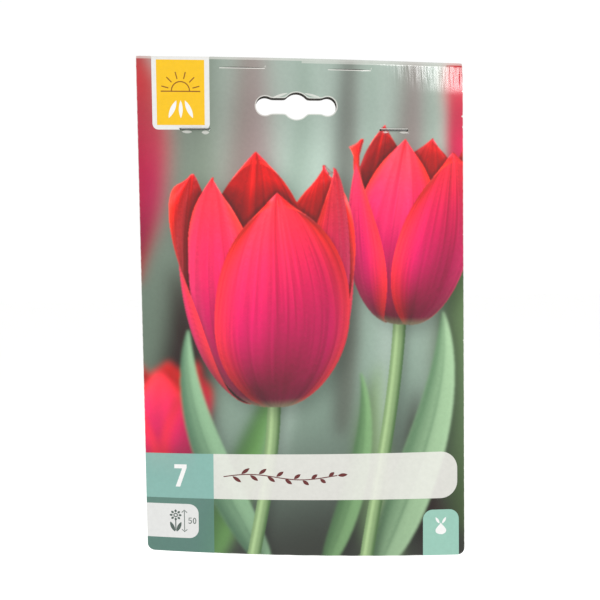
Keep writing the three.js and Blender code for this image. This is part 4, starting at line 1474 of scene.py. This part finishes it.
def skin_flakes(bulbs, shell, seed):
    """Loose papery flakes that lift off the bulb, and wisps round its nose."""
    rng = np.random.default_rng(seed + 500)
    u, v = np.meshgrid(np.linspace(-1, 1, 9), np.linspace(0, 1, 9))
    for number in range(bulbs.flakes):
        wisp = number < WISPS
        turn = rng.uniform(0, 2 * math.pi)
        start = rng.uniform(0.80, 0.86) if wisp else rng.uniform(0.3, 0.66)
        reach = rng.uniform(0.09, 0.13) if wisp else rng.uniform(0.07, 0.12)
        width = rng.uniform(0.35, 0.6) if wisp else rng.uniform(0.16, 0.3)
        taper = 1 - 0.75 * v**1.5 + 0.12 * np.sin(5 * v + number)
        share = start + v * reach * (1 - 0.25 * u**2)
        lift = 0.08 + (0.45 if wisp else 0.55) * v**2 + 0.15 * u**2 * v + 0.04 * np.sin(4 * u + number)
        shell.add(*leaf_of_skin(bulb_surface(bulbs, turn + u * width * taper, share, lift, seed), 0.1))


def root_stubs(bulbs, shell, seed):
    """Short dead roots round the basal plate."""
    rng = np.random.default_rng(seed + 900)
    steps = np.linspace(-0.6, 1, 4)[:, None]
    for number in range(bulbs.roots):
        angle = 2 * math.pi * number / bulbs.roots + rng.uniform(-0.08, 0.08)
        out = np.array([math.cos(angle), math.sin(angle), 0])
        start = out * bulbs.radius * rng.uniform(0.3, 0.44) + (0, 0, -0.88 * bulbs.radius)
        reach = rng.uniform(0.5, 1.4)
        line = start + steps * (out * 0.6 + (0, 0, -0.75)) * reach + steps**2 * rng.uniform(-0.25, 0.25, 3)
        shell.add(*tube(line, np.linspace(0.28, 0.12, 4), 6, (out[1], -out[0], 0.1)))


class PackBulbs(bpy.types.Operator):
    """Builds the tulip bulbs where the frame has them"""

    bl_idname = "bulb_pack.bulbs"
    bl_label = "Bulbs"

    def execute(self, context):
        bulbs = read(context, "bulbs")
        materials = [bulb_skin(bulbs), dry_root(bulbs.root)]
        for seed, (name, centre, turn) in enumerate(bulb_frames(bulbs)):
            shell = Shell()
            shell.add(*bulb_body(bulbs, seed))
            skin_flakes(bulbs, shell, seed)
            skin_faces = len(shell.faces)
            root_stubs(bulbs, shell, seed)
            upright = np.vstack(shell.vertices)
            kinds = np.arange(len(shell.faces)) >= skin_faces
            hung = centre + upright @ turn.T
            piece = new_piece(f"tulip_{name}", hung, shell.faces, materials, kinds, "bulb_skin", name)
            stored(piece, "torn", np.concatenate(shell.values))
            stored(piece, "upright", upright * MM, "FLOAT_VECTOR", "vector")
        return {"FINISHED"}


# The net bag. Each room is what a strand's skin keeps from a bulb's or the board's, in millimetres

CROSSING_ROOM = 0.35
STRAND_ROOM = 0.3
BOARD_ROOM = 0.12


def layer_places(net, shares):
    """Which of the flat bag's two layers each share of the way round is in, as a distance from its middle."""
    return net.layer * np.sign(np.round(np.sin(2 * math.pi * shares), 6))


def flat_row(net, sheet, shares, half_width, z):
    """Crossings where the bag lies flat in two layers. Shares run from its right side round by its back."""
    x = half_width * (4 * np.abs(shares - 0.5) - 1)
    return np.stack([x, layer_places(net, shares) - sheet.proud(x, z), np.full(len(x), z)], 1)


def pushed_out(points, frames, bulbs, clearance):
    """Points moved out of the bulbs to a clearance off their skin."""
    profile = through(BULB_PROFILE, 12) * bulbs.radius
    slope = np.arctan2(profile[:, 0], profile[:, 1])
    reach = np.hypot(profile[:, 0], profile[:, 1])
    order = np.argsort(slope)
    for _, centre, turn in frames:
        away = points - centre
        distance = np.linalg.norm(away, axis=-1) + 1e-9
        lean = np.arccos(np.clip(away @ turn[:, 2] / distance, -1, 1))
        skin = np.interp(lean, slope[order], reach[order]) + clearance
        points = centre + away * np.maximum(skin / distance, 1)[..., None]
    return points


def kept_behind(points, sheet, net):
    """Points held behind the card's front board and, in the header, before its flap."""
    x, y, z = np.moveaxis(points, -1, 0)
    bow = -sheet.proud(x, z)
    front = -sheet.card.gap / 2 + net.knot / 2 + BOARD_ROOM
    header = z > sheet.top - sheet.card.flap - 2
    y = np.maximum(y, bow + front)
    points[..., 1] = np.where(header, np.minimum(y, bow - front), y)
    return points


def net_crossings(net, sheet, bulbs, frames):
    """The net's crossings, row by row from its foot. A slack tube is drawn tight: every other row at a time
    moves to the middle of its neighbours, and then clear of the bulbs and the card. One row is held at the
    flap's edge."""
    first, quick, last = 150, 220, 50
    rows = np.arange(net.rows + 1)[:, None]
    shares = (np.arange(net.cells_around) + 0.5 * (rows % 2)) / net.cells_around
    angle = 2 * math.pi * shares
    x = net.slack_half_width * np.cos(angle)
    y = np.mean([centre[1] for _, centre, _ in frames]) + net.slack_half_depth * np.sin(angle)
    z = net.foot_z + (net.mouth_z - net.foot_z) * rows / net.rows + 0 * angle
    crossings = np.stack([x, y, z], -1)
    crossings[0] = flat_row(net, sheet, shares[0], net.foot_half_width, net.foot_z)
    crossings[-1] = flat_row(net, sheet, shares[-1], net.mouth_half_width, net.mouth_z)
    layer = layer_places(net, shares[net.flap_row])
    for pull in [1.0] * first + [1.5] * quick + [1.0] * last:
        for odd in (1, 0):
            moving = np.arange(2 - odd, net.rows, 2)
            middle = 0
            for row in (crossings[moving - 1], crossings[moving + 1]):
                middle = middle + (row + np.roll(row, -1 if odd else 1, 1)) / 4
            here = crossings[moving] + pull * (middle - crossings[moving])
            here = pushed_out(here, frames, bulbs, net.knot / 2 + CROSSING_ROOM)
            crossings[moving] = kept_behind(here, sheet, net)
            held = crossings[net.flap_row]
            held[:, 2] = sheet.top - sheet.card.flap - net.flap_gap
            held[:, 1] = layer - sheet.proud(held[:, 0], held[:, 2])
    return crossings


def strand_lines(net, crossings):
    """Every strand from foot to mouth, half of them winding to the right and half to the left."""
    lines = []
    rows = np.arange(net.rows + 1)
    for turns in (-((rows + 1) // 2), rows // 2):
        for start in range(net.cells_around):
            lines.append(crossings[rows, (start + turns) % net.cells_around])
    return lines


def weld_band(net, sheet, z, half_width):
    """A band where the net's strands are melted flat, with a rippled edge."""
    columns = 60
    x = np.linspace(-half_width, half_width, columns + 1)
    section = []
    for y, up in ((-0.5, -0.5), (0.5, -0.5), (0.5, 0.5), (-0.5, 0.5)):
        ripple = 1 + 0.12 * np.sin(2.3 * x + 9 * up) * (0.5 + abs(y))
        heights = z + up * net.weld_height * ripple
        place = y * net.weld_thickness * (0.8 + 0.2 * np.cos(3.1 * x))
        section.append(np.stack([x, place - sheet.proud(x, heights), heights], 1))
    faces = [[0, 1, 2, 3], [4 * columns + corner for corner in (3, 2, 1, 0)]]
    faces += [[face[0], *face[:0:-1]] for face in ring_faces(columns + 1, 4)]
    return np.stack(section, 1).reshape(-1, 3), faces


class PackNet(bpy.types.Operator):
    """Builds the net bag, drawn over the bulbs"""

    bl_idname = "bulb_pack.net"
    bl_label = "Net Bag"

    def execute(self, context):
        net, bulbs = read(context, "net"), read(context, "bulbs")
        sheet = Sheet(read(context, "card"), read(context, "staples"))
        frames = bulb_frames(bulbs)
        crossings = net_crossings(net, sheet, bulbs, frames)
        shell = Shell()
        steps, sides = 4, 5
        for line in strand_lines(net, crossings):
            fine = pushed_out(through(line, steps), frames, bulbs, net.strand / 2 + STRAND_ROOM)
            fine = kept_behind(fine, sheet, net)
            swell = np.abs(np.cos(np.pi * np.arange(len(fine)) / steps)) ** 3
            radii = net.strand / 2 + (net.knot - net.strand) / 2 * swell
            shell.add(*tube(fine, radii, sides, (0.13, 0.21, 1)), np.repeat(1 - swell, sides))
        for z, half_width in ((net.mouth_z, net.mouth_half_width), (net.foot_z, net.foot_half_width)):
            shell.add(*weld_band(net, sheet, z, half_width + net.weld_overhang), 0.2)
        plastic = extruded_netting(net.plastic)
        vertices = np.vstack(shell.vertices)
        piece = new_piece("netting_bag", vertices, shell.faces, [plastic], 0, "bag_netting", "net_bag")
        stored(piece, "stretch", np.concatenate(shell.values))
        return {"FINISHED"}


# The stage: places and sizes in metres

# Each light: its name, the setting of its power, its size, its place and what it is aimed at
LIGHTS = [
    ("key_softbox", "key_power", 0.24, (0.77, -0.70, 0.45), (0.03, 0, -0.03)),
    ("side_strip", "side_power", 0.11, (-0.42, -0.62, -0.1), (-0.05, 0, -0.09)),
    ("back_softbox", "back_power", 0.6, (-0.5, 0.9, 0.5), (0, 0.03, -0.1)),
]
AIM = Vector((1.48, -0.2, -81.17)) * MM
FLOOR_REACH = 3.0


def looking(item, direction):
    """Turns a camera or a lamp to look in a direction, and puts it in the scene."""
    item.rotation_euler = direction.to_track_quat("-Z", "Y").to_euler()
    bpy.context.scene.collection.objects.link(item)


class PackStage(bpy.types.Operator):
    """Builds the camera, the floor and the lights"""

    bl_idname = "bulb_pack.stage"
    bl_label = "Stage"

    def execute(self, context):
        stage = read(context, "stage")
        scene = context.scene
        turn, rise = stage.camera_azimuth, stage.camera_elevation
        flat = math.cos(rise)
        back = Vector((math.sin(turn) * flat, -math.cos(turn) * flat, math.sin(rise)))
        camera = bpy.data.objects.new("camera", bpy.data.cameras.new("camera"))
        camera.data.lens = stage.focal_length
        camera.data.clip_start = 0.01
        camera.location = AIM + back * stage.camera_distance * MM
        looking(camera, -back)
        scene.camera = camera

        mesh = bpy.data.meshes.new("studio_floor")
        corners = [(-1, -1), (1, -1), (1, 1), (-1, 1)]
        corners = [(x * FLOOR_REACH, y * FLOOR_REACH, -stage.floor_drop * MM) for x, y in corners]
        mesh.from_pydata(corners, [], [(0, 1, 2, 3)])
        mesh.materials.append(matt_floor())
        floor = bpy.data.objects.new("studio_floor", mesh)
        scene.collection.objects.link(floor)

        world = bpy.data.worlds.new("white_surround")
        world.use_nodes = True
        background = world.node_tree.nodes["Background"]
        background.inputs["Color"].default_value = (1.0, 1.0, 1.0, 1.0)
        background.inputs["Strength"].default_value = stage.daylight
        scene.world = world
        for name, power, size, place, aim in LIGHTS:
            light = bpy.data.lights.new(name, "AREA")
            light.energy = getattr(stage, power)
            light.size = size
            lamp = bpy.data.objects.new(name, light)
            lamp.location = place
            looking(lamp, Vector(aim) - Vector(place))
        scene.view_settings.view_transform = "Standard"
        return {"FINISHED"}


class VIEW3D_PT_bulb_pack(bpy.types.Panel):
    """Lists the pack's pieces"""

    bl_label = "Bulb Pack"
    bl_space_type = "VIEW_3D"
    bl_region_type = "UI"
    bl_category = "Bulb Pack"

    def draw(self, context):
        for operator, group in STEPS:
            box = self.layout.box()
            box.operator(operator.bl_idname)
            settings = getattr(context.scene, group)
            for name in settings.bl_rna.properties.keys():
                if name not in ("rna_type", "name"):
                    box.prop(settings, name)


STEPS = [
    (PackStage, "bulb_pack_stage"),
    (PackCard, "bulb_pack_card"),
    (PackStaples, "bulb_pack_staples"),
    (PackBulbs, "bulb_pack_bulbs"),
    (PackNet, "bulb_pack_net"),
]
CLASSES = [*SETTINGS.values(), *[operator for operator, _ in STEPS], VIEW3D_PT_bulb_pack]


def register():
    for cls in CLASSES:
        bpy.utils.register_class(cls)
    for name, group in SETTINGS.items():
        setattr(bpy.types.Scene, name, PointerProperty(type=group))


def unregister():
    for name in SETTINGS:
        delattr(bpy.types.Scene, name)
    for cls in reversed(CLASSES):
        bpy.utils.unregister_class(cls)


def main():
    register()
    bpy.ops.bulb_pack.stage()
    bpy.ops.bulb_pack.card()
    bpy.ops.bulb_pack.staples()
    bpy.ops.bulb_pack.bulbs()
    bpy.ops.bulb_pack.net()


if __name__ == "__main__":
    main()
